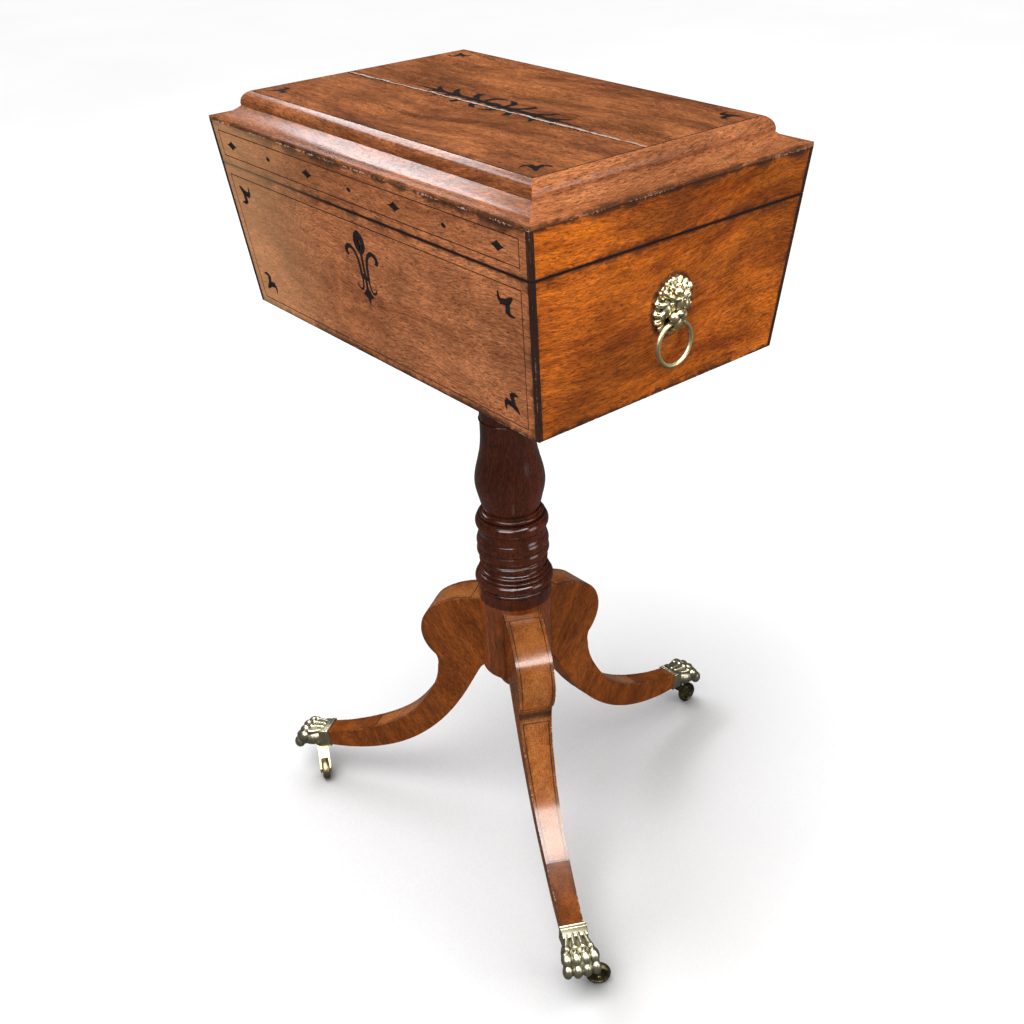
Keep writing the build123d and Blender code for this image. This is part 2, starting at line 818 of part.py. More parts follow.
bowl_plane = Plane((pillar_x, pillar_y, partition_top), x_dir=(1, 0, 0), z_dir=(0, -1, 0))
bowl_belly = (0.86 * bowl_radius, -0.55 * bowl_depth)
bowl_inner = bowl_radius - bowl_wall
foot_inner = bowl_foot_radius - bowl_wall
with BuildPart() as mixing_bowl:
    with BuildSketch(bowl_plane):
        with BuildLine():
            Line((0, -bowl_depth), (bowl_foot_radius, -bowl_depth))
            ThreePointArc((bowl_foot_radius, -bowl_depth), bowl_belly, (bowl_radius, 0))
            Polyline(
                (bowl_radius, 0),
                (bowl_rim_radius, 0),
                (bowl_rim_radius, bowl_wall),
                (bowl_inner, bowl_wall),
            )
            ThreePointArc(
                (bowl_inner, bowl_wall),
                (bowl_belly[0] - bowl_wall, bowl_belly[1] + bowl_wall / 2),
                (foot_inner, bowl_wall - bowl_depth),
            )
            Polyline((foot_inner, bowl_wall - bowl_depth), (0, bowl_wall - bowl_depth), (0, -bowl_depth))
        make_face()
    revolve(axis=Axis((pillar_x, pillar_y, 0), (0, 0, 1)))

bay_inner = (partition_spacing + partition_thickness) / 2
bay_outer = half_length(floor_of_case) - wall
canister_middle = (bay_inner + bay_outer) / 2
canister_length = bay_outer - bay_inner - 2 * canister_side_gap
canister_width = 2 * (half_width(floor_of_case) - wall - canister_end_gap)
for side, hand in (("left", -1), ("right", 1)):
    place = (hand * canister_middle, 0)
    canister_top = floor_of_case + canister_height
    with BuildPart() as canister:
        with BuildSketch(level(floor_of_case)):
            with Locations(place):
                Rectangle(canister_length, canister_width)
        extrude(amount=canister_height)
        with BuildSketch(level(floor_of_case + canister_wall)):
            with Locations(place):
                Rectangle(canister_length - 2 * canister_wall, canister_width - 2 * canister_wall)
        extrude(amount=canister_height - canister_wall, mode=Mode.SUBTRACT)
    save(canister.part, f"canister_{side}")

    lid_base = canister_top + canister_lid_gap
    lip_inset = 2 * (canister_wall + canister_lip_clearance)
    with BuildPart() as canister_lid:
        with BuildSketch(level(lid_base)):
            with Locations(place):
                Rectangle(canister_length, canister_width)
        extrude(amount=canister_lid_thickness)
        fillet(canister_lid.faces().sort_by(Axis.Z)[-1].edges(), canister_lid_thickness / 4)
        with BuildSketch(level(lid_base)):
            with Locations(place):
                Rectangle(canister_length - lip_inset, canister_width - lip_inset)
        extrude(amount=-canister_lip)
    save(canister_lid.part, f"canister_{side}_lid")

    knob_plane = Plane(
        (pillar_x + place[0], pillar_y, lid_base + canister_lid_thickness), x_dir=(1, 0, 0), z_dir=(0, -1, 0)
    )
    head_base = (1.5 * knob_neck_radius, knob_height / 2)
    head_top = (knob_radius / 2, knob_height)
    with BuildPart() as knob:
        with BuildSketch(knob_plane):
            with BuildLine():
                Polyline((0, knob_height), (0, 0), (knob_foot_radius, 0), (knob_foot_radius, knob_height / 8))
                ThreePointArc(
                    (knob_foot_radius, knob_height / 8), (knob_neck_radius, 0.3 * knob_height), head_base
                )
                ThreePointArc(head_base, (knob_radius, 0.72 * knob_height), head_top)
                Line(head_top, (0, knob_height))
            make_face()
        revolve(axis=Axis((pillar_x + place[0], pillar_y, 0), (0, 0, 1)))
    save(knob.part, f"canister_{side}_knob")

# --- Bearer and pillar ------------------------------------------------------------------

bearer_base = chest_base - bearer_thickness
bearer_points = [
    (across * (bearer_length / 2 - bearer_screw_inset), deep * (bearer_width / 2 - bearer_screw_inset))
    for across in (-1, 1)
    for deep in (-1, 1)
]
bearer_screw_length = bearer_thickness + bottom_thickness * 0.6
bearer_screws = screws(
    bearer_points, bearer_base, 1, bearer_screw_radius, 2 * bearer_screw_radius, bearer_screw_length
)

with BuildPart() as bearer:
    with BuildSketch(level(bearer_base)):
        Rectangle(bearer_length, bearer_width)
        Circle(tenon_radius, mode=Mode.SUBTRACT)
    extrude(amount=bearer_thickness)
    lower_edges = bearer.faces().sort_by(Axis.Z)[0].outer_wire().edges()
    chamfer(lower_edges, bearer_thickness / 3)
    add(bearer_screws, mode=Mode.SUBTRACT)

with BuildPart(mode=Mode.PRIVATE) as bottom_with_holes:
    add(carcass_bottom.part)
    add(bearer_screws, mode=Mode.SUBTRACT)

# The pillar's turning, from the neck down: (kind, radius or depth, height of the step)
turning = [
    ("line", 29.0, 2.6), ("bead", 2.2, 5.0), ("line", 33.2, 1.6), ("bead", 2.6, 11.6), ("line", 33.6, 1.4),
    ("cove", 1.4, 8.4), ("line", 34.0, 1.4), ("bead", 1.4, 9.4), ("line", 34.4, 1.2), ("bead", 1.2, 7.6),
    ("line", 33.6, 1.2), ("cove", 0.8, 3.0), ("line", 33.0, 1.0), ("bead", 0.8, 3.8), ("line", 32.0, 1.0),
    ("cove", 1.0, 4.2), ("line", 33.0, 1.2), ("bead", 1.2, 3.4), ("line", 35.0, 1.2), ("bead", 1.0, 2.8),
    ("line", 36.6, 1.0), ("bead", 2.2, 9.2), ("line", 35.8, 1.2), ("bead", 1.2, 3.2),
]
bulb_base = block_top + pillar_fillet + sum(step[2] for step in turning)
swell_radius = neck_radius + 0.26 * (bulb_radius - neck_radius)
astragal_base = astragal_top - astragal_height
pillar_plane = Plane((pillar_x, pillar_y, 0), x_dir=(1, 0, 0), z_dir=(0, -1, 0))

with BuildPart() as pillar:
    with BuildSketch(pillar_plane):
        with BuildLine():
            Polyline(
                (0, chest_base),
                (tenon_radius, chest_base),
                (tenon_radius, bearer_base),
                (neck_radius, bearer_base),
                (neck_radius, astragal_top),
            )
            ThreePointArc(
                (neck_radius, astragal_top),
                (neck_radius + astragal_relief, astragal_top - astragal_height / 2),
                (neck_radius, astragal_base),
            )
            Line((neck_radius, astragal_base), (neck_radius, neck_base))
            Spline(
                (neck_radius, neck_base),
                (swell_radius, neck_base - 0.42 * (neck_base - bulb_height)),
                (bulb_radius, bulb_height),
                ((bulb_radius + waist_radius) / 2, bulb_height - 0.59 * (bulb_height - bulb_base)),
                (waist_radius, bulb_base),
                tangents=((0, -1), (-0.5, -1)),
            )
            height = bulb_base
            radius = waist_radius
            for kind, size, step in turning:
                lower = height - step
                if kind == "line":
                    Polyline((radius, height), (size, height), (size, lower))
                    radius = size
                elif kind == "bead":
                    ThreePointArc((radius, height), (radius + size, height - step / 2), (radius, lower))
                else:
                    ThreePointArc((radius, height), (radius - size, height - step / 2), (radius, lower))
                height = lower
            Polyline(
                (radius, height),
                (collar_radius, height),
                (collar_radius, block_top),
                (block_radius, block_top),
                (block_radius, block_bottom),
                (pendant_radius, block_bottom),
                (pendant_radius, block_bottom - pendant_depth / 2),
            )
            ThreePointArc(
                (pendant_radius, block_bottom - pendant_depth / 2),
                (0.94 * pendant_radius, block_bottom - 0.85 * pendant_depth),
                (pendant_end_radius, block_bottom - pendant_depth),
            )
            Polyline(
                (pendant_end_radius, block_bottom - pendant_depth),
                (0, block_bottom - pendant_depth),
                (0, chest_base),
            )
        make_face()
    revolve(axis=Axis((pillar_x, pillar_y, 0), (0, 0, 1)))

# --- Legs -------------------------------------------------------------------------------

scroll_reach = knee_reach - knee_round
scroll_top = knee_height + knee_half
scroll_base = knee_height - knee_half
notch_base = notch_height - notch_half
toe_base = toe_top - toe_thickness
seat_base = block_bottom - seat_drop
upper_run = toe_reach - notch_reach
upper_fall = notch_base - toe_top
lower_run = toe_reach - leg_shoulder
lower_rise = seat_base - toe_base

# The sweep's two outlines, as shares of the way out from the pillar and of the height
upper_sweep = [(0.078, 0.288), (0.232, 0.55), (0.5, 0.782), (0.755, 0.916)]
lower_sweep = [(0.78, 0.028), (0.553, 0.134), (0.35, 0.328), (0.198, 0.567), (0.094, 0.8), (0.032, 0.959)]
upper_points = [(notch_reach + out * upper_run, notch_base - down * upper_fall) for out, down in upper_sweep]
lower_points = [(leg_shoulder + out * lower_run, toe_base + up * lower_rise) for out, up in lower_sweep]


def leg_solid(angle):
    """One leg: a scrolled knee and a long sweep down to the toe, with its dovetail tongue."""
    with BuildPart() as leg:
        with BuildSketch(upright_plane(angle)):
            with BuildLine():
                Line((leg_shoulder, seat_base), (leg_shoulder, leg_top))
                ThreePointArc(
                    (leg_shoulder, leg_top),
                    ((leg_shoulder + scroll_reach) / 2, (leg_top + scroll_top) / 2 + shoulder_rise),
                    (scroll_reach, scroll_top),
                )
                ThreePointArc(
                    (scroll_reach, scroll_top),
                    (knee_reach, knee_height),
                    (scroll_reach, scroll_base),
                )
                ThreePointArc(
                    (scroll_reach, scroll_base),
                    (notch_reach - notch_depth, notch_height),
                    (notch_reach, notch_base),
                )
                Spline(
                    (notch_reach, notch_base),
                    *upper_points,
                    (toe_reach, toe_top),
                    tangents=((0.05, -1), (1, -toe_fall)),
                )
                Line((toe_reach, toe_top), (toe_reach, toe_base))
                Spline(
                    (toe_reach, toe_base),
                    *lower_points,
                    (leg_shoulder, seat_base),
                    tangents=((-1, -0.02), (-1, 0.5)),
                )
            make_face()
        extrude(amount=knee_width / 2, both=True)
        with BuildSketch(cross_plane(angle, 0)):
            Polygon(
                (-toe_width / 2, 0),
                (toe_width / 2, 0),
                (toe_width / 2, toe_top),
                (knee_width / 2, knee_height),
                (knee_width / 2, leg_top),
                (-knee_width / 2, leg_top),
                (-knee_width / 2, knee_height),
                (-toe_width / 2, toe_top),
            )
        extrude(amount=toe_reach, mode=Mode.INTERSECT)
    return leg.part


def tongue_solid(angle):
    """Dovetail tongue of a leg, slid up into the pillar's block from below."""
    along = Vector(cos(radians(angle)), sin(radians(angle)), 0)
    base = Plane((pillar_x, pillar_y, seat_base), x_dir=along, z_dir=(0, 0, 1))
    inner = leg_shoulder - tongue_depth
    with BuildPart() as tongue:
        with BuildSketch(base):
            Polygon(
                (inner, -tongue_neck / 2 - tongue_flare / 2),
                (leg_shoulder, -tongue_neck / 2),
                (leg_shoulder, tongue_neck / 2),
                (inner, tongue_neck / 2 + tongue_flare / 2),
            )
        extrude(amount=leg_top - tongue_stop - block_bottom)
    return tongue.part


def flat_solid(angle):
    """Wood taken off the block's round face where a leg seats."""
    with BuildPart() as flat:
        with BuildSketch(cross_plane(angle, leg_shoulder)):
            with Locations((0, (leg_top + seat_base - seat_drop) / 2)):
                Rectangle(2 * block_radius, leg_top - seat_base + seat_drop)
        extrude(amount=block_radius)
    return flat.part


legs = {}
for name, angle in leg_angles.items():
    with BuildPart() as leg:
        add(leg_solid(angle + leg_turn))
        add(tongue_solid(angle + leg_turn))
    legs[name] = leg.part
    save(leg.part, f"leg_{name}")

with BuildPart() as fitted_pillar:
    add(pillar.part)
    for angle in leg_angles.values():
        add(flat_solid(angle + leg_turn), mode=Mode.SUBTRACT)
        add(tongue_solid(angle + leg_turn), mode=Mode.SUBTRACT)

# --- Paws and castors -------------------------------------------------------------------

sleeve_width = toe_width + 2 * sleeve_wall
sleeve_top = toe_top + sleeve_wall
sleeve_rise = toe_fall * sleeve_lap
paw_height = sleeve_top - paw_base

# Sections of a paw behind its toes: distance past the wood, width, underside, top, corner
paw_sections = [
    (-sleeve_lap, sleeve_width, toe_base - sleeve_wall, sleeve_top + sleeve_rise, sleeve_wall),
    (-0.3 * sleeve_lap, sleeve_width, paw_base, sleeve_top + sleeve_rise / 3, 0.08 * paw_width),
    (0.25 * paw_length, 0.84 * paw_width, paw_base, sleeve_top, 0.2 * paw_width),
    (0.55 * paw_length, 0.94 * paw_width, paw_base, paw_base + 0.96 * paw_height, 0.26 * paw_width),
    (0.78 * paw_length, 0.84 * paw_width, paw_base, paw_base + 0.68 * paw_height, 0.2 * paw_width),
    (0.9 * paw_length, 0.66 * paw_width, paw_base, paw_base + 0.4 * paw_height, 0.1 * paw_width),
]


def toe_solid(angle, number):
    """One toe, round in section, from its knuckle down to its claw."""
    across = number - (toe_count - 1) / 2
    cross = cross_plane(angle, 0)
    near = cross.from_local_coords(
        Vector(0.8 * toe_spread * across, paw_base + 0.56 * paw_height, toe_reach + 0.48 * paw_length)
    )
    far = cross.from_local_coords(
        Vector(toe_spread * across, paw_base + claw_size - toe_drop, paw_reach - claw_size - 0.6 * across**2)
    )
    run = far - near
    with BuildPart() as toe:
        with BuildSketch(Plane(near, x_dir=run.normalized(), z_dir=run.cross(Vector(0, 0, 1)).normalized())):
            Circle(knuckle_size)
            with Locations((run.length, 0)):
                Circle(claw_size)
            make_hull()
            with Locations((run.length / 2, -knuckle_size)):
                Rectangle(2 * run.length, 2 * knuckle_size, mode=Mode.SUBTRACT)
        revolve(axis=Axis(near, run))
    return toe.part


def stem_solid(angle, radius, low, high):
    """Upright cylinder on a castor's swivel axis."""
    with BuildPart() as stem:
        with BuildSketch(level(low)):
            with Locations((swivel_reach * cos(radians(angle)), swivel_reach * sin(radians(angle)))):
                Circle(radius)
        extrude(amount=high - low)
    return stem.part


fork_top = paw_base - swivel_gap
fork_inside = wheel_width + 2 * wheel_side_gap
half_wheel = wheel_width / 2
half_web = half_wheel - web_recess
tread_edge = wheel_radius - tread_crown
web_edge = tread_edge - 2 * web_recess
bore = axle_radius + running_clearance

for name, angle in leg_angles.items():
    turned = angle + leg_turn
    with BuildPart() as paw:
        for past, width, under, over, corner in paw_sections:
            with BuildSketch(cross_plane(turned, toe_reach + past)):
                with Locations((0, (under + over) / 2)):
                    RectangleRounded(width, over - under, corner)
        loft(ruled=True)
        for number in range(toe_count):
            add(toe_solid(turned, number))
        add(legs[name], mode=Mode.SUBTRACT)
        add(stem_solid(turned, stem_radius + running_clearance, 0, stem_top + swivel_gap), mode=Mode.SUBTRACT)
    save(paw.part, f"paw_{name}")

    heading = castor_headings[name]
    swivel = Vector(
        pillar_x + swivel_reach * cos(radians(turned)), pillar_y + swivel_reach * sin(radians(turned)), 0
    )
    along = Vector(cos(radians(heading)), sin(radians(heading)), 0)
    fork_plane = Plane(swivel, x_dir=along, z_dir=(along.Y, -along.X, 0))
    axle_axis = Axis(swivel + along * castor_trail + Vector(0, 0, wheel_radius), fork_plane.z_dir)
    with BuildPart() as fork:
        with BuildSketch(fork_plane):
            with Locations((castor_trail, wheel_radius)):
                Circle(cheek_radius)
            with Locations((0, fork_top - cheek_radius)):
                Circle(cheek_radius)
            make_hull()
        extrude(amount=fork_inside / 2 + cheek_thickness, both=True)
        with BuildSketch(fork_plane):
            with Locations((castor_trail, wheel_radius)):
                Circle(wheel_radius + wheel_side_gap)
        extrude(amount=fork_inside / 2, both=True, mode=Mode.SUBTRACT)
        add(stem_solid(turned, shoulder_radius, fork_top - shoulder_thickness, fork_top))
        add(stem_solid(turned, stem_radius, fork_top - shoulder_thickness, stem_top))
        with BuildSketch(fork_plane):
            with Locations((castor_trail, wheel_radius)):
                Circle(axle_radius)
        extrude(amount=fork_inside, both=True, mode=Mode.SUBTRACT)
    save(fork.part, f"castor_fork_{name}")

    with BuildPart() as axle:
        with BuildSketch(fork_plane):
            with Locations((castor_trail, wheel_radius)):
                Circle(axle_radius)
        extrude(amount=fork_inside / 2 + cheek_thickness + axle_head, both=True)
        fillet(axle.edges().filter_by(GeomType.CIRCLE), 0.8 * axle_head)
    save(axle.part, f"castor_axle_{name}")

    wheel_plane = Plane(axle_axis.position, x_dir=(0, 0, 1), z_dir=along)
    with BuildPart() as wheel:
        with BuildSketch(wheel_plane):
            with BuildLine():
                Polyline(
                    (tread_edge, -half_wheel),
                    (tread_edge - web_recess, -half_wheel),
                    (web_edge, -half_web),
                    (hub_radius, -half_web),
                    (hub_radius, -half_wheel),
                    (bore, -half_wheel),
                    (bore, half_wheel),
                    (hub_radius, half_wheel),
                    (hub_radius, half_web),
                    (web_edge, half_web),
                    (tread_edge - web_recess, half_wheel),
                    (tread_edge, half_wheel),
                )
                ThreePointArc((tread_edge, half_wheel), (wheel_radius, 0), (tread_edge, -half_wheel))
            make_face()
        revolve(axis=axle_axis)
    save(wheel.part, f"castor_wheel_{name}")

# --- Lion masks and rings ---------------------------------------------------------------

hole_radius = ring_wire + snout_width**2 / (8 * ring_radius) + ring_clearance
ring_room = ring_standoff - ring_wire - ring_clearance
face_base = hole_radius - snout_drop
face_height = mask_height / 2 - lock_size - face_base


def ball(plane, across, up, height, radius):
    """Round swelling of a mask, its middle at a height over the chest's face."""
    with BuildPart() as swelling:
        with Locations(plane.from_local_coords(Vector(across, up, height))):
            Sphere(radius)
    return swelling.part


for side in ("left", "right"):
    mask_plane = side_plane(side, mask_middle)
    face_middle = (0, face_base + face_height / 2)
    with BuildPart() as mask:
        with BuildSketch(mask_plane):
            Ellipse(mask_width / 2, mask_height / 2)
        with BuildSketch(mask_plane.offset(mask_plate)):
            Ellipse(mask_width / 2 - mask_taper, mask_height / 2 - mask_taper)
        loft()
        for number in range(mane_locks):
            turn = 2 * pi * (number + 0.5) / mane_locks
            behind_ring = mask_height / 2 * cos(turn) < -snout_drop
            size = ring_room if behind_ring else lock_size
            across = (mask_width / 2 - size) * sin(turn)
            up = (mask_height / 2 - size) * cos(turn)
            add(ball(mask_plane, across, up, 0, size))
        with BuildSketch(mask_plane):
            Rectangle(2 * mask_width, 2 * mask_height)
        extrude(amount=-2 * lock_size, mode=Mode.SUBTRACT)
        with BuildSketch(mask_plane):
            with Locations(face_middle):
                Ellipse(face_width / 2, face_height / 2)
        with BuildSketch(mask_plane.offset(face_relief)):
            with Locations(face_middle):
                Ellipse(face_width / 3, face_height / 3)
        loft()
        for hand in (-1, 1):
            add(ball(mask_plane, hand * brow_apart, brow_rise, face_relief - brow_size / 4, brow_size))
            add(ball(mask_plane, hand * eye_apart, eye_rise, face_relief, eye_size))
        with BuildSketch(mask_plane.offset(face_relief / 2)):
            with Locations((0, (brow_rise - snout_drop) / 2)):
                Rectangle(nose_width, brow_rise + snout_drop)
        extrude(amount=ring_standoff + hole_radius - face_relief / 2, taper=8)
        with BuildSketch(mask_plane):
            with Locations((0, -snout_drop)):
                RectangleRounded(snout_width, snout_height, snout_width / 4)
        extrude(amount=ring_standoff + hole_radius + snout_web)
        pivot = mask_plane.from_local_coords(Vector(0, -snout_drop, ring_standoff))
        with BuildSketch(Plane(pivot, x_dir=(0, 0, 1), z_dir=(0, 1, 0))):
            Circle(hole_radius)
        extrude(amount=mask_width, both=True, mode=Mode.SUBTRACT)
    save(mask.part, f"lion_mask_{side}")

    ring_middle = pivot - Vector(0, 0, ring_radius)
    with BuildPart() as ring:
        with BuildSketch(Plane(ring_middle, x_dir=(0, 1, 0), z_dir=(0, 0, 1))):
            with Locations((ring_radius, 0)):
                Circle(ring_wire)
        revolve(axis=Axis(ring_middle, (1, 0, 0)))
    save(ring.part, f"ring_{side}")

# --- Remaining pieces -------------------------------------------------------------------

save(carcass_strips, "carcass_corner_strips")
save(lid_strips, "lid_corner_strips")
save(front_line, "front_stringing")
save(frieze_line, "frieze_stringing")
save(front_corner_darts.part, "front_corner_darts")
save(frieze_diamonds.part, "frieze_diamonds")
save(pierced_escutcheon.part, "escutcheon")
save(lock_case.part, "lock_case")
save(lock_bolt.part, "lock_bolt")
save(link_plate.part, "link_plate")
save(carcass_hinge_leaves.part, "carcass_hinge_leaves")
save(lid_hinge_leaves.part, "lid_hinge_leaves")
save(hinge_pins.part, "hinge_pins")
save(carcass_hinge_screws, "carcass_hinge_screws")
save(lid_hinge_screws, "lid_hinge_screws")
save(bottom_with_holes.part, "carcass_bottom")
save(lid_panel.part, "lid_panel")
save(cornice_long_sides.part, "cornice_long_sides")
save(cornice_short_sides.part, "cornice_short_sides")
save(top_stringing.part, "top_stringing")
save(top_inlays.part, "top_inlays")
save(partitions.part, "partitions")
save(bowl_platform.part, "bowl_platform")
save(mixing_bowl.part, "mixing_bowl")
save(bearer.part, "bearer")
save(bearer_screws, "bearer_screws")
save(fitted_pillar.part, "pillar")
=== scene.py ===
import math

import bpy
from mathutils import Matrix, Vector


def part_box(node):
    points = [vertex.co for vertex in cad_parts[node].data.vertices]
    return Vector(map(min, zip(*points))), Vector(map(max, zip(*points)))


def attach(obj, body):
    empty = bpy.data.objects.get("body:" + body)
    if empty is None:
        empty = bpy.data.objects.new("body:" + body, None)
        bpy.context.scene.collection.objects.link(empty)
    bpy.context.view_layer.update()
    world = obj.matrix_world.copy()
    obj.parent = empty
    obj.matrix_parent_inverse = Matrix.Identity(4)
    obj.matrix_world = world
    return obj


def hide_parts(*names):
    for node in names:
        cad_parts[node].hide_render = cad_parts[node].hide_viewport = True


bl_info = {
    "name": "Teapoy Dressing",
    "version": (1, 0, 0),
    "blender": (4, 5, 0),
    "location": "3D View > Sidebar > Teapoy",
    "description": "Polished woods, inlay, cast brasses and a plain studio for a teapoy",
    "category": "Object",
}

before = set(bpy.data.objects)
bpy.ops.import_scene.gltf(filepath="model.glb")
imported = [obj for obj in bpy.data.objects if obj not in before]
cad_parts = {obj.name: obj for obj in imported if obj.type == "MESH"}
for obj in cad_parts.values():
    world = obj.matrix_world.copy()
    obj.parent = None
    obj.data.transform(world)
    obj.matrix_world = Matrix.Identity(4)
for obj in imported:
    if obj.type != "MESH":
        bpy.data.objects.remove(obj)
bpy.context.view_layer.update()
MM = 0.001

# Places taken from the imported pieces, in metres
LID_LOW, LID_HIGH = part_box("cornice_long_sides")
CHEST_LOW, CHEST_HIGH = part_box("carcass_corner_strips")
AXIS_X = (LID_LOW.x + LID_HIGH.x) / 2
AXIS_Y = (LID_LOW.y + LID_HIGH.y) / 2
HALF_LENGTH = (LID_HIGH.x - LID_LOW.x) / 2
HALF_WIDTH = (LID_HIGH.y - LID_LOW.y) / 2
RIM = LID_LOW.z
SEAM = CHEST_HIGH.z
CHEST_BASE = CHEST_LOW.z
LEAN = (HALF_LENGTH - (CHEST_HIGH.x - CHEST_LOW.x) / 2) / (RIM - SEAM)
LEGS = {"back": 91.7, "front_left": -148.3, "front_right": -28.3}

# The pillar's block, and how much lighter its wood is than the turning above it
BLOCK_TOP = 0.291
BLOCK_LIFT = (3.0, 3.2, 1.6)

# The seam under the lid counts as an edge from this far off, in metres, so that it chips less
SEAM_GUARD = 0.0016

# Course of the lid's split: its slope, then its distance from the middle and its wandering, in metres
SPLIT_SLOPE = 0.018
SPLIT_MIDDLE = -0.0115
SPLIT_WANDER = 0.009

# Depth of the pores, scratches, chips and cracks that only the finish shows, in metres
WOOD_RELIEF = 0.00012

# Heights on a leg, in millimetres
LEG_TOE = 59.5
LEG_PANEL_END = 84.0
LEG_NOTCH = 197.5
LEG_KNEE = 236.0

# Where a leg's upper panel begins, in millimetres from the pillar's axis
LEG_SEAT = 42.0

# Half widths of a leg at those heights, and how far its stringing stands in, in millimetres
TOE_HALF_WIDTH = 10.75
KNEE_HALF_WIDTH = 18.0
LEG_LINE_INSET = 2.6

# Paw: reach of the castor's stem, radius of its hole and height of the flat underside, in millimetres
STEM_REACH = 246.0
STEM_HOLE = 3.7
PAW_BASE = 38.1

# Mask: pivot of the ring from the middle of its back, and radius of the hole for it, in millimetres
RING_PIVOT = (0, -12.2, 5.4)
RING_HOLE = 4.2


# --- Sizes and colours that can be changed ------------------------------------------------


def colour(name, description, value):
    """Colour property with a name, a description and its default."""
    return bpy.props.FloatVectorProperty(
        name=name, description=description, subtype="COLOR", size=3, min=0, max=1, default=value
    )


def amount(name, description, value, high=1.0):
    """Plain factor from nothing up to a limit."""
    return bpy.props.FloatProperty(name=name, description=description, default=value, min=0, max=high)


def length(name, description, value):
    """Length in metres."""
    return bpy.props.FloatProperty(
        name=name, description=description, default=value, min=0, subtype="DISTANCE", unit="LENGTH"
    )


def power(name, description, value):
    """Power of a lamp in watts."""
    return bpy.props.FloatProperty(name=name, description=description, default=value, min=0, unit="POWER")


class TeapoyWoods(bpy.types.PropertyGroup):
    """Colours and finish of the mahogany, the ebony and the edges."""

    front_light: colour("Front, light", "Light figure of the front and the frieze", (0.6, 0.215, 0.08))
    front_dark: colour("Front, dark", "Dark figure of the front and the frieze", (0.29, 0.085, 0.028))
    # Painted sheen: a pale tone laid on the left of the front in place of a reflection
    shine: colour("Front, faded", "Where the light has bleached the front", (0.72, 0.41, 0.2))
    end_light: colour("Ends, light", "Light figure of the two ends", (0.66, 0.16, 0.008))
    end_dark: colour("Ends, dark", "Dark figure of the two ends", (0.28, 0.052, 0.003))
    top_light: colour("Lid, light", "Light figure of the lid panel", (0.55, 0.185, 0.06))
    top_dark: colour("Lid, dark", "Dark figure of the lid panel", (0.18, 0.054, 0.019))
    pillar_light: colour("Pillar, light", "Light figure of the pillar", (0.115, 0.022, 0.007))
    pillar_dark: colour("Pillar, dark", "Dark figure of the pillar", (0.036, 0.01, 0.005))
    leg_light: colour("Legs, light", "Light figure of the legs", (0.32, 0.083, 0.012))
    leg_dark: colour("Legs, dark", "Dark figure of the legs", (0.14, 0.034, 0.006))
    honey: colour("Leg panels", "Honey-coloured panels on the legs' upper faces", (0.52, 0.18, 0.04))
    strip_light: colour("Strips, light", "Light figure of the strips and the stringing", (0.075, 0.026, 0.01))
    strip_dark: colour("Strips, dark", "Dark figure of the strips and the stringing", (0.018, 0.008, 0.005))
    streak: colour("Streaks", "Dark mineral streaks in the wood", (0.035, 0.012, 0.006))
    worn: colour("Rubbed wood", "Bare wood at rubbed and chipped edges", (0.62, 0.42, 0.3))
    broken: colour("Broken wood", "Pale edges of the lid's split", (0.62, 0.5, 0.43))
    # Real dirt at the edges, and also painted shade: the seam, the split's dark line, the knee notch and the
    # ring round each mask take this colour
    grime_and_shade: colour("Grime and shade", "Old wax and dirt along the joints", (0.028, 0.013, 0.009))
    ebony: colour("Ebony", "Inlay and stringing", (0.012, 0.01, 0.011))
    polish: amount("Polish", "Strength of the clear polish over the wood", 0.6)
    pores: amount("Pores", "Depth of the open pores", 0.6)


class TeapoyBrass(bpy.types.PropertyGroup):
    """Colours of the brasses."""

    bright: colour("Bright", "Rubbed brass", (0.82, 0.7, 0.42))
    dull: colour("Dull", "Brass under a thin tarnish", (0.5, 0.42, 0.22))
    paw_bright: colour("Paw, bright", "Knuckles of the paws", (0.68, 0.64, 0.45))
    paw_dull: colour("Paw, dull", "Grey-green tarnish of the paws", (0.3, 0.28, 0.18))
    # Partly painted shade: the darker tarnish of these castors also stands in for the paws' shadow over them
    castor_tarnish_and_shade: colour("Castors, dull", "Tarnish of the two dark castors", (0.1, 0.085, 0.05))
    recess: colour("Recess", "Dirt in the hollows of the casting", (0.018, 0.013, 0.009))


class TeapoyPaw(bpy.types.PropertyGroup):
    """Sizes of the paws, along the leg from the pillar's axis and up from the floor."""

    heel: length("Heel", "Reach where the sleeve begins", 0.2282)
    tip: length("Tip", "Reach of the longest toe", 0.2748)
    sleeve_width: length("Sleeve width", "Across the sleeve", 0.0249)
    spread: length("Spread", "Between the middles of the outer toes", 0.0265)
    toe_radius: length("Toe radius", "Thickest part of a toe", 0.0054)
    voxel: length("Detail", "Size of the cast surface's facets", 0.00055)


class TeapoyMask(bpy.types.PropertyGroup):
    """Sizes of the lion masks."""

    width: length("Width", "Across the mane", 0.042)
    height: length("Height", "From the crest to the beard", 0.05)
    locks: bpy.props.IntProperty(
        name="Locks", description="Locks in the mane's outer row", default=16, min=8, max=24
    )
    voxel: length("Detail", "Size of the cast surface's facets", 0.0004)


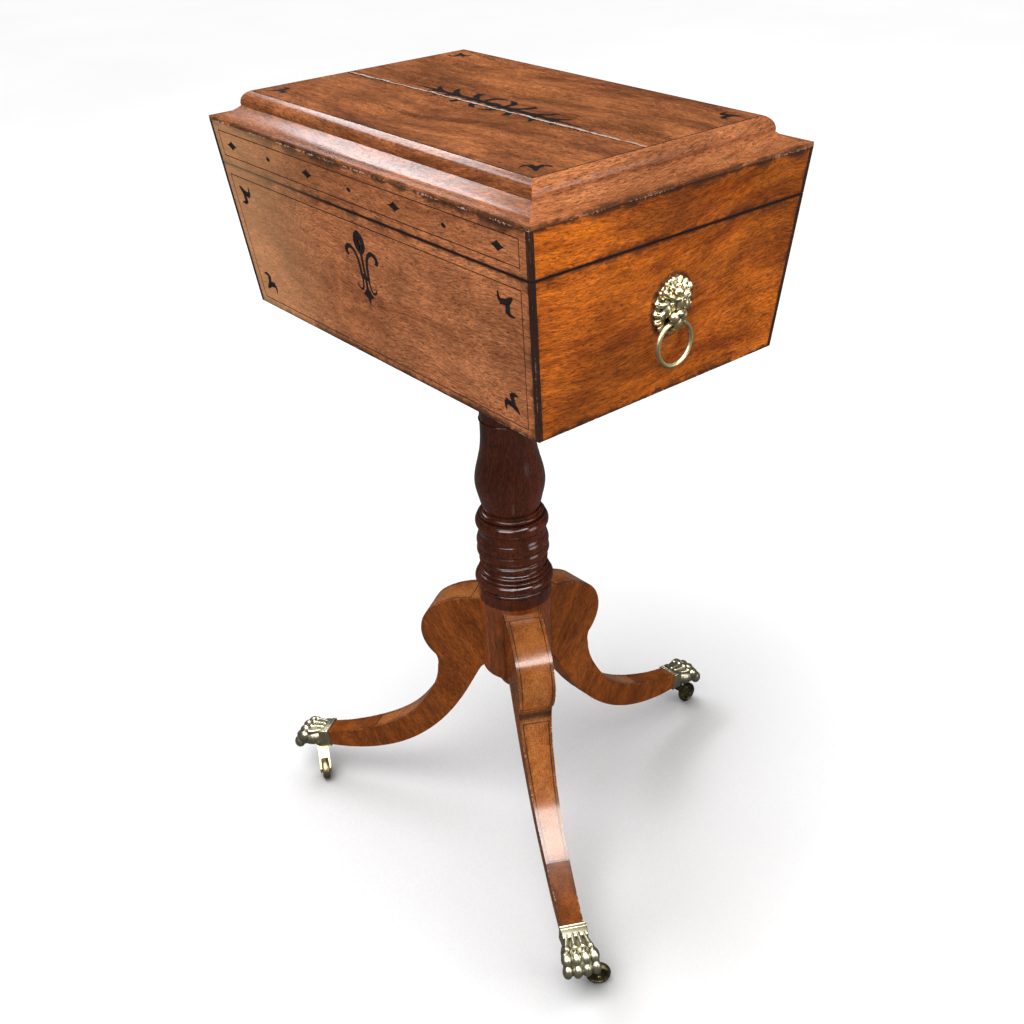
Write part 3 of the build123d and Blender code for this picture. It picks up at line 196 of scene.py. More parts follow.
class TeapoyStage(bpy.types.PropertyGroup):
    """Camera, floor and lights."""

    camera: bpy.props.FloatVectorProperty(
        name="Camera", description="Place of the camera", subtype="TRANSLATION", unit="LENGTH",
        default=(0.84031 + AXIS_X, -0.6577 + AXIS_Y, 1.01585),
    )
    lens: bpy.props.FloatProperty(
        name="Lens", description="Focal length for a 36 mm sensor, in millimetres", default=45.155, min=10
    )
    floor: colour("Floor", "Pale floor", (0.87, 0.87, 0.87))
    window: power("Window", "Power of the large soft light on the left", 26)
    side: power("Side light", "Power of the soft light on the right", 15)
    overhead: power("Ceiling", "Power of the lamp that only polish and metal mirror from above", 75)
    front: power("Front light", "Power of the lamp that only polish and metal mirror from the front", 34)
    daylight: bpy.props.FloatProperty(
        name="Daylight", description="Strength of the soft directed light", default=2.2, min=0
    )
    room: amount("Room", "Brightness of the room's even light", 0.5, high=4.0)
    mirrored: amount("Mirrored room", "Share of the room's light that polish and metal mirror", 0.05)
    bounce: colour("Floor's bounce", "Floor as the wood is lit by it", (0.6, 0.585, 0.57))
    sheen: colour("Floor's reflection", "Floor as polish and metal mirror it", (0.06, 0.058, 0.056))


# --- Shader building blocks ---------------------------------------------------------------


def feed(tree, source, target):
    """Link a value to an input, or set the input to a plain one."""
    source = getattr(source, "socket", source)
    if isinstance(source, bpy.types.NodeSocket):
        tree.links.new(source, target)
    elif source is not None:
        if target.type == "RGBA" and len(source) == 3:
            source = (*source, 1.0)
        target.default_value = source


def add_node(tree, kind, inputs=(), **settings):
    """Add a node, set its properties and feed its inputs, given in order or by name."""
    made = tree.nodes.new(kind)
    for key, value in settings.items():
        setattr(made, key, value)
    pairs = inputs.items() if isinstance(inputs, dict) else enumerate(inputs)
    for key, source in pairs:
        feed(tree, source, made.inputs[key])
    return made


class Field:
    """Number that changes over a surface; arithmetic on it adds Math nodes to its tree."""

    def __init__(self, tree, socket):
        self.tree = tree
        self.socket = socket

    def math(self, operation, *values):
        """Result of a Math node."""
        made = add_node(self.tree, "ShaderNodeMath", values, operation=operation)
        return Field(self.tree, made.outputs[0])

    def __add__(self, other):
        return self.math("ADD", self, other)

    def __sub__(self, other):
        return self.math("SUBTRACT", self, other)

    def __rsub__(self, other):
        return self.math("SUBTRACT", other, self)

    def __mul__(self, other):
        return self.math("MULTIPLY", self, other)

    def __truediv__(self, other):
        return self.math("DIVIDE", self, other)

    def __lt__(self, other):
        return self.math("LESS_THAN", self, other)

    def __gt__(self, other):
        return self.math("GREATER_THAN", self, other)

    def __abs__(self):
        return self.math("ABSOLUTE", self)

    def least(self, other):
        """The smaller of two."""
        return self.math("MINIMUM", self, other)

    def most(self, other):
        """The larger of two."""
        return self.math("MAXIMUM", self, other)


def mix(tree, factor, first, second, blend="MIX"):
    """Colour between two colours."""
    made = add_node(tree, "ShaderNodeMix", data_type="RGBA", blend_type=blend)
    feed(tree, factor, made.inputs[0])
    feed(tree, first, made.inputs[6])
    feed(tree, second, made.inputs[7])
    return made.outputs[2]


def remap(value, low, high, to_low=0.0, to_high=1.0, kind="SMOOTHSTEP"):
    """Step of a value between two limits."""
    inputs = {"Value": value, "From Min": low, "From Max": high, "To Min": to_low, "To Max": to_high}
    return Field(
        value.tree, add_node(value.tree, "ShaderNodeMapRange", inputs, interpolation_type=kind).outputs[0]
    )


def noise(tree, vector, scale, detail=3.0, roughness=0.5, distortion=0.0):
    """Noise from 0 to 1."""
    inputs = {
        "Vector": vector, "Scale": scale, "Detail": detail, "Roughness": roughness, "Distortion": distortion
    }
    return Field(tree, add_node(tree, "ShaderNodeTexNoise", inputs).outputs[0])


def grained(tree, vector, along, across, detail=3.0, roughness=0.6, distortion=0.0):
    """Noise drawn out along X, so that it runs with the grain."""
    scaled = add_node(tree, "ShaderNodeMapping", {"Vector": vector, "Scale": (along, across, across)})
    return noise(tree, scaled.outputs[0], 1.0, detail, roughness, distortion)


def vector_math(tree, operation, *values):
    """Result of a Vector Math node."""
    return add_node(tree, "ShaderNodeVectorMath", values, operation=operation).outputs


def coordinates(tree, vector):
    """The three coordinates of a vector."""
    return [Field(tree, part) for part in add_node(tree, "ShaderNodeSeparateXYZ", (vector,)).outputs]


def new_group(name, inputs, outputs):
    """Node group with its sockets, given as (name, kind, default); returns it with its two ends."""
    group = bpy.data.node_groups.new(name, "ShaderNodeTree")
    for label, kind, default in inputs:
        socket = group.interface.new_socket(label, in_out="INPUT", socket_type="NodeSocket" + kind)
        if default is not None:
            socket.default_value = (*default, 1.0) if kind == "Color" else default
    for label, kind in outputs:
        group.interface.new_socket(label, in_out="OUTPUT", socket_type="NodeSocket" + kind)
    start = group.nodes.new("NodeGroupInput")
    end = group.nodes.new("NodeGroupOutput")
    return group, {socket.name: Field(group, socket) for socket in start.outputs}, end.inputs


def place_group(tree, name, inputs):
    """Put a node group into a material, feed its inputs by name and return its outputs by name."""
    made = tree.nodes.new("ShaderNodeGroup")
    made.node_tree = bpy.data.node_groups[name]
    for key, source in inputs.items():
        feed(tree, source, made.inputs[key])
    return {socket.name: Field(tree, socket) for socket in made.outputs}


def new_material(name):
    """Empty material with its shader and output; returns the material, its tree and its shader."""
    material = bpy.data.materials.new(name)
    material.use_nodes = True
    tree = material.node_tree
    tree.nodes.clear()
    shader = tree.nodes.new("ShaderNodeBsdfPrincipled")
    output = tree.nodes.new("ShaderNodeOutputMaterial")
    tree.links.new(shader.outputs[0], output.inputs[0])
    return material, tree, shader


def object_coordinates(tree):
    """Object coordinates, in metres, in the frame of the whole piece."""
    return tree.nodes.new("ShaderNodeTexCoord").outputs["Object"]


def bump(tree, height, distance):
    """Normal from a height."""
    inputs = {"Strength": 1.0, "Distance": distance, "Height": height}
    return add_node(tree, "ShaderNodeBump", inputs).outputs[0]


# --- Effects that several finishes share --------------------------------------------------


def build_wood_figure():
    """Mahogany: broad ribbon figure, fine grain, dark streaks and open pores, running along X."""
    group, start, end = new_group(
        "Wood Figure",
        [
            ("Vector", "Vector", None),
            ("Light", "Color", (0.4, 0.15, 0.05)),
            ("Dark", "Color", (0.2, 0.06, 0.02)),
            ("Streak", "Color", (0.03, 0.01, 0.005)),
            ("Streaks", "Float", 0.4),
            ("Pores", "Float", 0.4),
            ("Blotches", "Float", 0.4),
        ],
        [("Color", "Color"), ("Height", "Float")],
    )
    drift = add_node(group, "ShaderNodeTexNoise", {"Vector": start["Vector"], "Scale": 3.2, "Detail": 2.0})
    sway = vector_math(group, "SUBTRACT", drift.outputs["Color"], (0.5, 0.5, 0.5))[0]
    vector = vector_math(group, "MULTIPLY_ADD", sway, (0.0, 0.08, 0.08), start["Vector"])[0]
    bands = grained(group, vector, 4.0, 34.0, 5.0, distortion=0.7)
    ribbon = grained(group, vector, 22.0, 150.0, 4.0, distortion=0.6)
    grain = grained(group, vector, 130.0, 1000.0, distortion=0.3)
    curl = grained(group, vector, 18.0, 24.0, 4.0, distortion=1.4)
    figure = bands * 0.44 + ribbon * 0.36 + curl * 0.2
    tone = mix(group, remap(figure, 0.34, 0.66), start["Dark"], start["Light"])
    blotch = noise(group, vector, 9.0, 4.0, 0.6, 0.4)
    shade = (remap(blotch, 0.3, 0.7, 0.62, 1.22) - 1.0) * start["Blotches"] + 1.0
    level = shade * remap(grain, 0.3, 0.7, 0.6, 1.36)
    grey = add_node(group, "ShaderNodeCombineXYZ", (level, level, level)).outputs[0]
    tone = mix(group, 1.0, tone, grey, "MULTIPLY")
    streaks = remap(grained(group, vector, 5.0, 210.0, 5.0, 0.65, 0.5), 0.58, 0.74)
    tone = mix(group, streaks * start["Streaks"], tone, start["Streak"])
    pores = remap(grained(group, vector, 250.0, 900.0, 2.0, 0.65, 0.5), 0.54, 0.66) * start["Pores"]
    feed(group, mix(group, pores, tone, start["Streak"]), end["Color"])
    feed(group, grain * 0.25 - pores, end["Height"])


def build_chest_arris():
    """How far a place lies from the edges of the flared chest and its lid, and a mask of painted shade along
    the seam between them.
    """
    group, start, end = new_group(
        "Chest Arris", [("Vector", "Vector", None)], [("Distance", "Float"), ("Seam", "Float")]
    )
    along, deep, rise = coordinates(group, start["Vector"])
    inward = (RIM - rise).most(0.0) * LEAN
    to_end = abs(HALF_LENGTH - inward - abs(along - AXIS_X))
    to_side = abs(HALF_WIDTH - inward - abs(deep - AXIS_Y))
    depth = to_end.least(to_side)
    to_seam = abs(rise - SEAM)
    # Painted shade: a dark band along the seam under the lid
    feed(group, remap(to_seam, 0.0005, 0.0021, 1.0, 0.0) * remap(depth, 0.0, 0.003, 1.0, 0.0), end["Seam"])
    nearest = (to_end + to_side).least(to_seam + SEAM_GUARD)
    for height in (CHEST_BASE, RIM):
        nearest = nearest.least(abs(rise - height) + depth)
    feed(group, nearest / MM, end["Distance"])


def build_handled_edges():
    """Old polish near an edge: dirt beside it and pale chips on it, by a distance in millimetres."""
    group, start, end = new_group(
        "Handled Edges",
        [
            ("Vector", "Vector", None),
            ("Color", "Color", (0.4, 0.15, 0.05)),
            ("Worn", "Color", (0.6, 0.4, 0.28)),
            ("Grime and shade", "Color", (0.03, 0.014, 0.01)),
            ("Distance", "Float", 20.0),
            ("Wear", "Float", 0.5),
            ("Dirt", "Float", 0.5),
        ],
        [("Color", "Color"), ("Chipped", "Float")],
    )
    place, distance = start["Vector"], start["Distance"]
    dirt_reach = remap(noise(group, place, 55.0, 4.0, 0.6), 0.3, 0.75, 0.3, 13.0)
    dirt = remap(distance / dirt_reach, 0.0, 1.0, 1.0, 0.0) * start["Dirt"]
    dirty = mix(group, dirt, start["Color"], start["Grime and shade"])
    flakes = remap(noise(group, place, 420.0, 4.0, 0.7), 0.45, 0.7, 0.0, 1.8)
    patches = remap(noise(group, place, 38.0, 2.0), 0.42, 0.62)
    chipped = (distance < flakes * patches) * start["Wear"]
    feed(group, mix(group, chipped, dirty, start["Worn"]), end["Color"])
    feed(group, chipped, end["Chipped"])


def build_hand_polish():
    """Uneven old polish: smears that change the gloss, and fine scratches."""
    group, start, end = new_group(
        "Hand Polish",
        [("Vector", "Vector", None), ("Gloss", "Float", 0.3), ("Spread", "Float", 0.12)],
        [("Roughness", "Float"), ("Scratches", "Float")],
    )
    smear = remap(grained(group, start["Vector"], 8.0, 22.0, 5.0, 0.65, 0.8), 0.3, 0.7, -1.0, 1.0)
    feed(group, start["Gloss"] + smear * start["Spread"], end["Roughness"])
    hair = grained(group, start["Vector"], 14.0, 1500.0, 1.0, 0.4, 2.0)
    feed(group, remap(hair, 0.66, 0.7), end["Scratches"])


def build_lid_split():
    """The old split along the lid panel: a groove with a dark line of painted shadow beside it, and a pale
    broken edge.
    """
    group, start, end = new_group(
        "Lid Split", [("Vector", "Vector", None)], [("Crack and shadow", "Float"), ("Edge", "Float")]
    )
    place = start["Vector"]
    along, deep, _ = coordinates(group, place)
    wander = (grained(group, place, 34.0, 0.0, 4.0) - 0.5) * SPLIT_WANDER
    line = (along - AXIS_X) * SPLIT_SLOPE + SPLIT_MIDDLE + wander
    offset = (deep - AXIS_Y - line) / MM
    ragged = remap(grained(group, place, 160.0, 500.0, roughness=0.7), 0.35, 0.7, 0.3, 2.8)
    opening = remap(grained(group, place, 14.0, 0.0, 2.0, 0.5), 0.35, 0.6, 0.45, 1.1)
    width = ragged * opening
    # Painted shadow: the dark line lies 1.9 mm to the near side of the pale edge; the same mask also sinks
    # the bump
    feed(group, abs(offset + 1.9) < width * 0.55, end["Crack and shadow"])
    feed(group, abs(offset) < width, end["Edge"])


def build_leg_panels():
    """Upper faces of a leg, their stringing, the distance in millimetres to their edges, and a band of
    painted shade at the knee's notch.
    """
    group, start, end = new_group(
        "Leg Panels",
        [("Vector", "Vector", None), ("Normal", "Vector", None)],
        [("Upper", "Float"), ("Line", "Float"), ("Edge", "Float"), ("Grime and shade", "Float")],
    )
    reach, across, rise = (part / MM for part in coordinates(group, start["Vector"]))
    forward, sideways, upward = coordinates(group, start["Normal"])
    outward = forward + upward
    upper = (abs(sideways) < 0.5) * (outward > 0.15)
    inset = remap(rise, LEG_TOE, LEG_KNEE, TOE_HALF_WIDTH, KNEE_HALF_WIDTH, "LINEAR") - abs(across)
    knee = (reach - LEG_SEAT).least(rise - (LEG_NOTCH + 5.0))
    lower = (LEG_NOTCH - 9.0 - rise).least(rise - LEG_PANEL_END)
    edge = (inset - LEG_LINE_INSET).least(knee.most(lower))
    wobble = noise(group, start["Vector"], 300.0, 2.0) - 0.5
    line = remap(abs(wobble * 0.5 + (edge - 0.5)), 0.35, 0.65, 1.0, 0.0)
    feed(group, upper * (rise > LEG_PANEL_END), end["Upper"])
    feed(group, line * upper * 0.85, end["Line"])
    feed(group, inset + (1.0 - upper) * 30.0, end["Edge"])
    # Painted shade: a dark band on the outward faces at the knee's notch, under the overhang of the knee
    grime_and_shade = remap(wobble * 6.0 + abs(rise - LEG_NOTCH), 1.0, 8.0, 0.85, 0.0)
    feed(group, grime_and_shade * (outward > 0.0), end["Grime and shade"])


def build_cast_brass():
    """Cast brass: bright on its high spots, tarnished between and dark in its hollows."""
    group, start, end = new_group(
        "Cast Brass",
        [
            ("Vector", "Vector", None),
            ("Bright", "Color", (0.8, 0.7, 0.4)),
            ("Dull", "Color", (0.4, 0.34, 0.18)),
            ("Recess", "Color", (0.02, 0.015, 0.01)),
            ("Relief", "Float", 0.5),
            ("Rubbed", "Float", 0.5),
        ],
        [("Color", "Color"), ("Roughness", "Float"), ("Metallic", "Float"), ("Height", "Float")],
    )
    relief = (noise(group, start["Vector"], 260.0, 4.0, 0.65) - 0.5) * 0.16 + start["Relief"]
    worn_from = start["Rubbed"] * -0.16 + 0.52
    high = remap(relief, worn_from, worn_from + 0.2)
    hollow = remap(relief, 0.22, 0.36, 1.0, 0.0)
    tone = mix(group, high, start["Dull"], start["Bright"])
    feed(group, mix(group, hollow, tone, start["Recess"]), end["Color"])
    feed(group, hollow * 0.35 + (high * -0.12 + 0.46), end["Roughness"])
    feed(group, hollow * -0.6 + 1.0, end["Metallic"])
    feed(group, noise(group, start["Vector"], 900.0, roughness=0.6), end["Height"])


def build_groups():
    """Make every shared effect once."""
    build_wood_figure()
    build_chest_arris()
    build_handled_edges()
    build_hand_polish()
    build_lid_split()
    build_leg_panels()
    build_cast_brass()


# --- Finishes -----------------------------------------------------------------------------

ALONG_X = (0.0, 0.0, 0.0)
ALONG_Y = (0.0, 0.0, math.radians(90))
ALONG_Z = (0.0, math.radians(90), 0.0)


def wood(
    name, grain, light, dark, streaks=0.35, gloss=0.3, blotches=0.5, edged=False, wear=0.6, dirt=0.7, coat=1.0
):
    """Polished mahogany; edged wood is chipped and dirty along the edges of the chest and its lid, and
    darkened with painted shade along the seam under the lid.
    """
    looks = bpy.context.scene.teapoy_woods
    material, tree, shader = new_material(name)
    place = object_coordinates(tree)
    turned = add_node(tree, "ShaderNodeMapping", {"Vector": place, "Rotation": grain}).outputs[0]
    figure = place_group(
        tree, "Wood Figure",
        {"Vector": turned, "Light": light, "Dark": dark, "Streak": looks.streak, "Streaks": streaks,
         "Pores": looks.pores, "Blotches": blotches},
    )
    tone = figure["Color"]
    chipped = None
    if edged:
        arris = place_group(tree, "Chest Arris", {"Vector": place})
        handled = place_group(
            tree, "Handled Edges",
            {"Vector": place, "Color": tone, "Worn": looks.worn, "Grime and shade": looks.grime_and_shade,
             "Distance": arris["Distance"], "Wear": wear, "Dirt": dirt},
        )
        # Painted shade: the seam under the lid is darkened with the dark joint colour
        tone = mix(tree, arris["Seam"], handled["Color"], looks.grime_and_shade)
        chipped = handled["Chipped"]
    polish = place_group(tree, "Hand Polish", {"Vector": turned, "Gloss": gloss, "Spread": 0.1})
    feed(tree, tone, shader.inputs["Base Color"])
    feed(tree, polish["Roughness"], shader.inputs["Roughness"])
    height = polish["Scratches"] * -0.5 + figure["Height"]
    if chipped:
        height = chipped * -2.0 + height
    feed(tree, bump(tree, height, WOOD_RELIEF), shader.inputs["Normal"])
    shader.inputs["Coat Weight"].default_value = looks.polish * coat
    shader.inputs["Coat Roughness"].default_value = 0.14
    shader.inputs["Specular IOR Level"].default_value = 0.1
    return material, tree, shader, tone, height


def dress(material, *nodes):
    """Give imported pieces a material."""
    for name in nodes:
        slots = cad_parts[name].data.materials
        slots.clear()
        slots.append(material)


def leg_finish(name, angle):
    """Wood of one leg: figure along its sweep, and on its upper faces two strung honey panels."""
    looks = bpy.context.scene.teapoy_woods
    material, tree, shader = new_material(name)
    shared = {"Location": (AXIS_X, AXIS_Y, 0), "Rotation": (0, 0, angle)}
    place = object_coordinates(tree)
    local = add_node(tree, "ShaderNodeMapping", {"Vector": place, **shared}, vector_type="TEXTURE").outputs[0]
    sweep = add_node(
        tree, "ShaderNodeMapping", {"Vector": local, "Rotation": (0, math.radians(62), 0)}
    ).outputs[0]
    panel = place_group(tree, "Leg Panels", {"Vector": local, "Normal": facing(tree, angle)})
    light = mix(tree, panel["Upper"], looks.leg_light, looks.honey)
    dark = mix(tree, panel["Upper"], looks.leg_dark, looks.leg_light)
    figure = place_group(
        tree, "Wood Figure",
        {"Vector": sweep, "Light": light, "Dark": dark, "Streak": looks.streak, "Streaks": 0.3,
         "Pores": looks.pores, "Blotches": 0.6},
    )
    handled = place_group(
        tree, "Handled Edges",
        {"Vector": place, "Color": figure["Color"], "Worn": looks.worn, "Grime and shade": looks.grime_and_shade,
         "Distance": panel["Edge"], "Wear": 0.9, "Dirt": 0.45},
    )
    tone = mix(tree, panel["Line"], handled["Color"], looks.ebony)
    # Painted shade under the knee, in the dark joint colour
    tone = mix(tree, panel["Grime and shade"], tone, looks.grime_and_shade)
    feed(tree, tone, shader.inputs["Base Color"])
    polish = place_group(tree, "Hand Polish", {"Vector": sweep, "Gloss": 0.26, "Spread": 0.1})
    feed(tree, polish["Roughness"], shader.inputs["Roughness"])
    height = handled["Chipped"] * -2.0 + figure["Height"]
    feed(tree, bump(tree, height, WOOD_RELIEF), shader.inputs["Normal"])
    feed(tree, panel["Upper"] * 0.85 + 0.15, shader.inputs["Coat Weight"])
    shader.inputs["Coat Roughness"].default_value = 0.16
    shader.inputs["Specular IOR Level"].default_value = 0.1
    return material


def facing(tree, angle):
    """Surface direction in the frame of a leg."""
    normal = tree.nodes.new("ShaderNodeTexCoord").outputs["Normal"]
    inputs = {"Vector": normal, "Rotation": (0, 0, angle)}
    return add_node(tree, "ShaderNodeMapping", inputs, vector_type="TEXTURE").outputs[0]


def ebony_finish(name):
    """Ebony inlay: near black, with a little wax and a few rubbed places."""
    looks = bpy.context.scene.teapoy_woods
    material, tree, shader = new_material(name)
    place = object_coordinates(tree)
    grain = grained(tree, place, 120.0, 900.0)
    wax = noise(tree, place, 130.0, 4.0, 0.65)
    tone = mix(tree, remap(grain, 0.35, 0.7), looks.ebony, (0.03, 0.022, 0.018))
    tone = mix(tree, remap(wax, 0.62, 0.72, 0.0, 0.45), tone, (0.16, 0.09, 0.05))
    feed(tree, tone, shader.inputs["Base Color"])
    feed(tree, remap(wax, 0.3, 0.7, 0.3, 0.5), shader.inputs["Roughness"])
    feed(tree, bump(tree, grain, 0.00008), shader.inputs["Normal"])
    shader.inputs["Specular IOR Level"].default_value = 0.15
    return material, tree, shader, tone, grain


def brass_finish(name, bright, dull, modelled=False, rubbed=0.5):
    """Brass; modelled work is tarnished by its hollows, plain work in patches."""
    looks = bpy.context.scene.teapoy_brass
    material, tree, shader = new_material(name)
    place = object_coordinates(tree)
    if modelled:
        pointiness = tree.nodes.new("ShaderNodeNewGeometry").outputs["Pointiness"]
        level = remap(Field(tree, pointiness), 0.44, 0.56)
    else:
        level = remap(noise(tree, place, 90.0, 4.0, 0.65), 0.3, 0.7, 0.4, 0.68)
    metal = place_group(
        tree, "Cast Brass",
        {"Vector": place, "Bright": bright, "Dull": dull, "Recess": looks.recess, "Relief": level,
         "Rubbed": rubbed},
    )
    feed(tree, metal["Color"], shader.inputs["Base Color"])
    feed(tree, metal["Roughness"], shader.inputs["Roughness"])
    feed(tree, metal["Metallic"], shader.inputs["Metallic"])
    feed(tree, bump(tree, metal["Height"], 0.00006), shader.inputs["Normal"])
    return material


# --- Modelling ----------------------------------------------------------------------------


def millimetres(*values):
    """Millimetres as metres."""
    return tuple(value * MM for value in values)


def swelling(place, radii, turn=(0.0, 0.0, 0.0)):
    """Round form, with its middle, its three radii and its turn; millimetres and degrees."""
    bpy.ops.mesh.primitive_uv_sphere_add(
        segments=24, ring_count=14, radius=1, location=millimetres(*place), scale=millimetres(*radii),
        rotation=[math.radians(angle) for angle in turn],
    )
    return bpy.context.object


def finger(start, end, start_radius, end_radius):
    """Tapering round bar between two places, with round ends."""
    run = Vector(end) - Vector(start)
    bpy.ops.mesh.primitive_cone_add(
        vertices=20, radius1=start_radius * MM, radius2=end_radius * MM, depth=run.length * MM,
        location=millimetres(*((Vector(start) + Vector(end)) / 2)),
        rotation=run.to_track_quat("Z", "Y").to_euler(),
    )
    bar = bpy.context.object
    ends = [swelling(start, [start_radius] * 3), swelling(end, [end_radius] * 3)]
    return [bar, *ends]


def rounded_block(place, size, tilt, rounding):
    """Block with rounded edges, tilted about Y."""
    bpy.ops.mesh.primitive_cube_add(
        size=1, location=millimetres(*place), scale=millimetres(*size), rotation=(0, math.radians(tilt), 0)
    )
    bpy.ops.object.transform_apply(location=False, rotation=False, scale=True)
    bpy.ops.object.mode_set(mode="EDIT")
    bpy.ops.mesh.select_all(action="SELECT")
    bpy.ops.mesh.bevel(offset=rounding * MM, segments=3, profile=0.5, affect="EDGES")
    bpy.ops.object.mode_set(mode="OBJECT")
    return bpy.context.object


def pick(*pieces):
    """Select these pieces only and make the first one active."""
    bpy.ops.object.select_all(action="DESELECT")
    for piece in pieces:
        piece.select_set(True)
    bpy.context.view_layer.objects.active = pieces[0]


def settle():
    """Write the place, turn and size of what is picked into its mesh."""
    bpy.ops.object.transform_apply(location=True, rotation=True, scale=True)


def join(name, pieces):
    """Join pieces into one, with its place in its mesh."""
    pick(*pieces)
    bpy.ops.object.join()
    joined = bpy.context.object
    joined.name = name
    settle()
    return joined


def apply_modifier(piece, kind, **settings):
    """Add a modifier and apply it at once."""
    modifier = piece.modifiers.new(kind, kind)
    for key, value in settings.items():
        setattr(modifier, key, value)
    pick(piece)
    bpy.ops.object.modifier_apply(modifier=modifier.name)


def cast(name, pieces, skin, melting):
    """Melt forms together into one closed casting with a fine even skin."""
    casting = join(name, pieces)
    apply_modifier(casting, "REMESH", mode="VOXEL", voxel_size=skin)
    apply_modifier(casting, "SMOOTH", factor=0.5, iterations=melting)
    return casting


def drill(casting, place, radius, depth, axis):
    """Round hole through a casting, along X, Y or Z."""
    turn = {"X": (0, math.pi / 2, 0), "Y": (math.pi / 2, 0, 0), "Z": (0, 0, 0)}[axis]
    bpy.ops.object.select_all(action="DESELECT")
    bpy.ops.mesh.primitive_cylinder_add(
        vertices=40, radius=radius * MM, depth=depth * MM, location=millimetres(*place), rotation=turn
    )
    drill_bit = bpy.context.object
    apply_modifier(casting, "BOOLEAN", operation="DIFFERENCE", solver="EXACT", object=drill_bit)
    bpy.data.objects.remove(drill_bit)


def slice_off(piece, place, keep):
    """Cut a form flat through a place and keep the side that a direction points to."""
    pick(piece)
    settle()
    bpy.ops.object.mode_set(mode="EDIT")
    bpy.ops.mesh.select_all(action="SELECT")
    bpy.ops.mesh.bisect(plane_co=place, plane_no=keep, use_fill=True, clear_inner=True, clear_outer=False)
    bpy.ops.object.mode_set(mode="OBJECT")


def place_copy(source, name, matrix, body, node, material):
    """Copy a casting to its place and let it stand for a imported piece."""
    piece = bpy.data.objects.new(name, source.data.copy())
    bpy.context.scene.collection.objects.link(piece)
    piece.matrix_world = matrix
    pick(piece)
    settle()
    bpy.ops.object.shade_smooth()
    piece.data.materials.clear()
    piece.data.materials.append(material)
    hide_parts(node)
    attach(piece, body)


# --- Operators ----------------------------------------------------------------------------


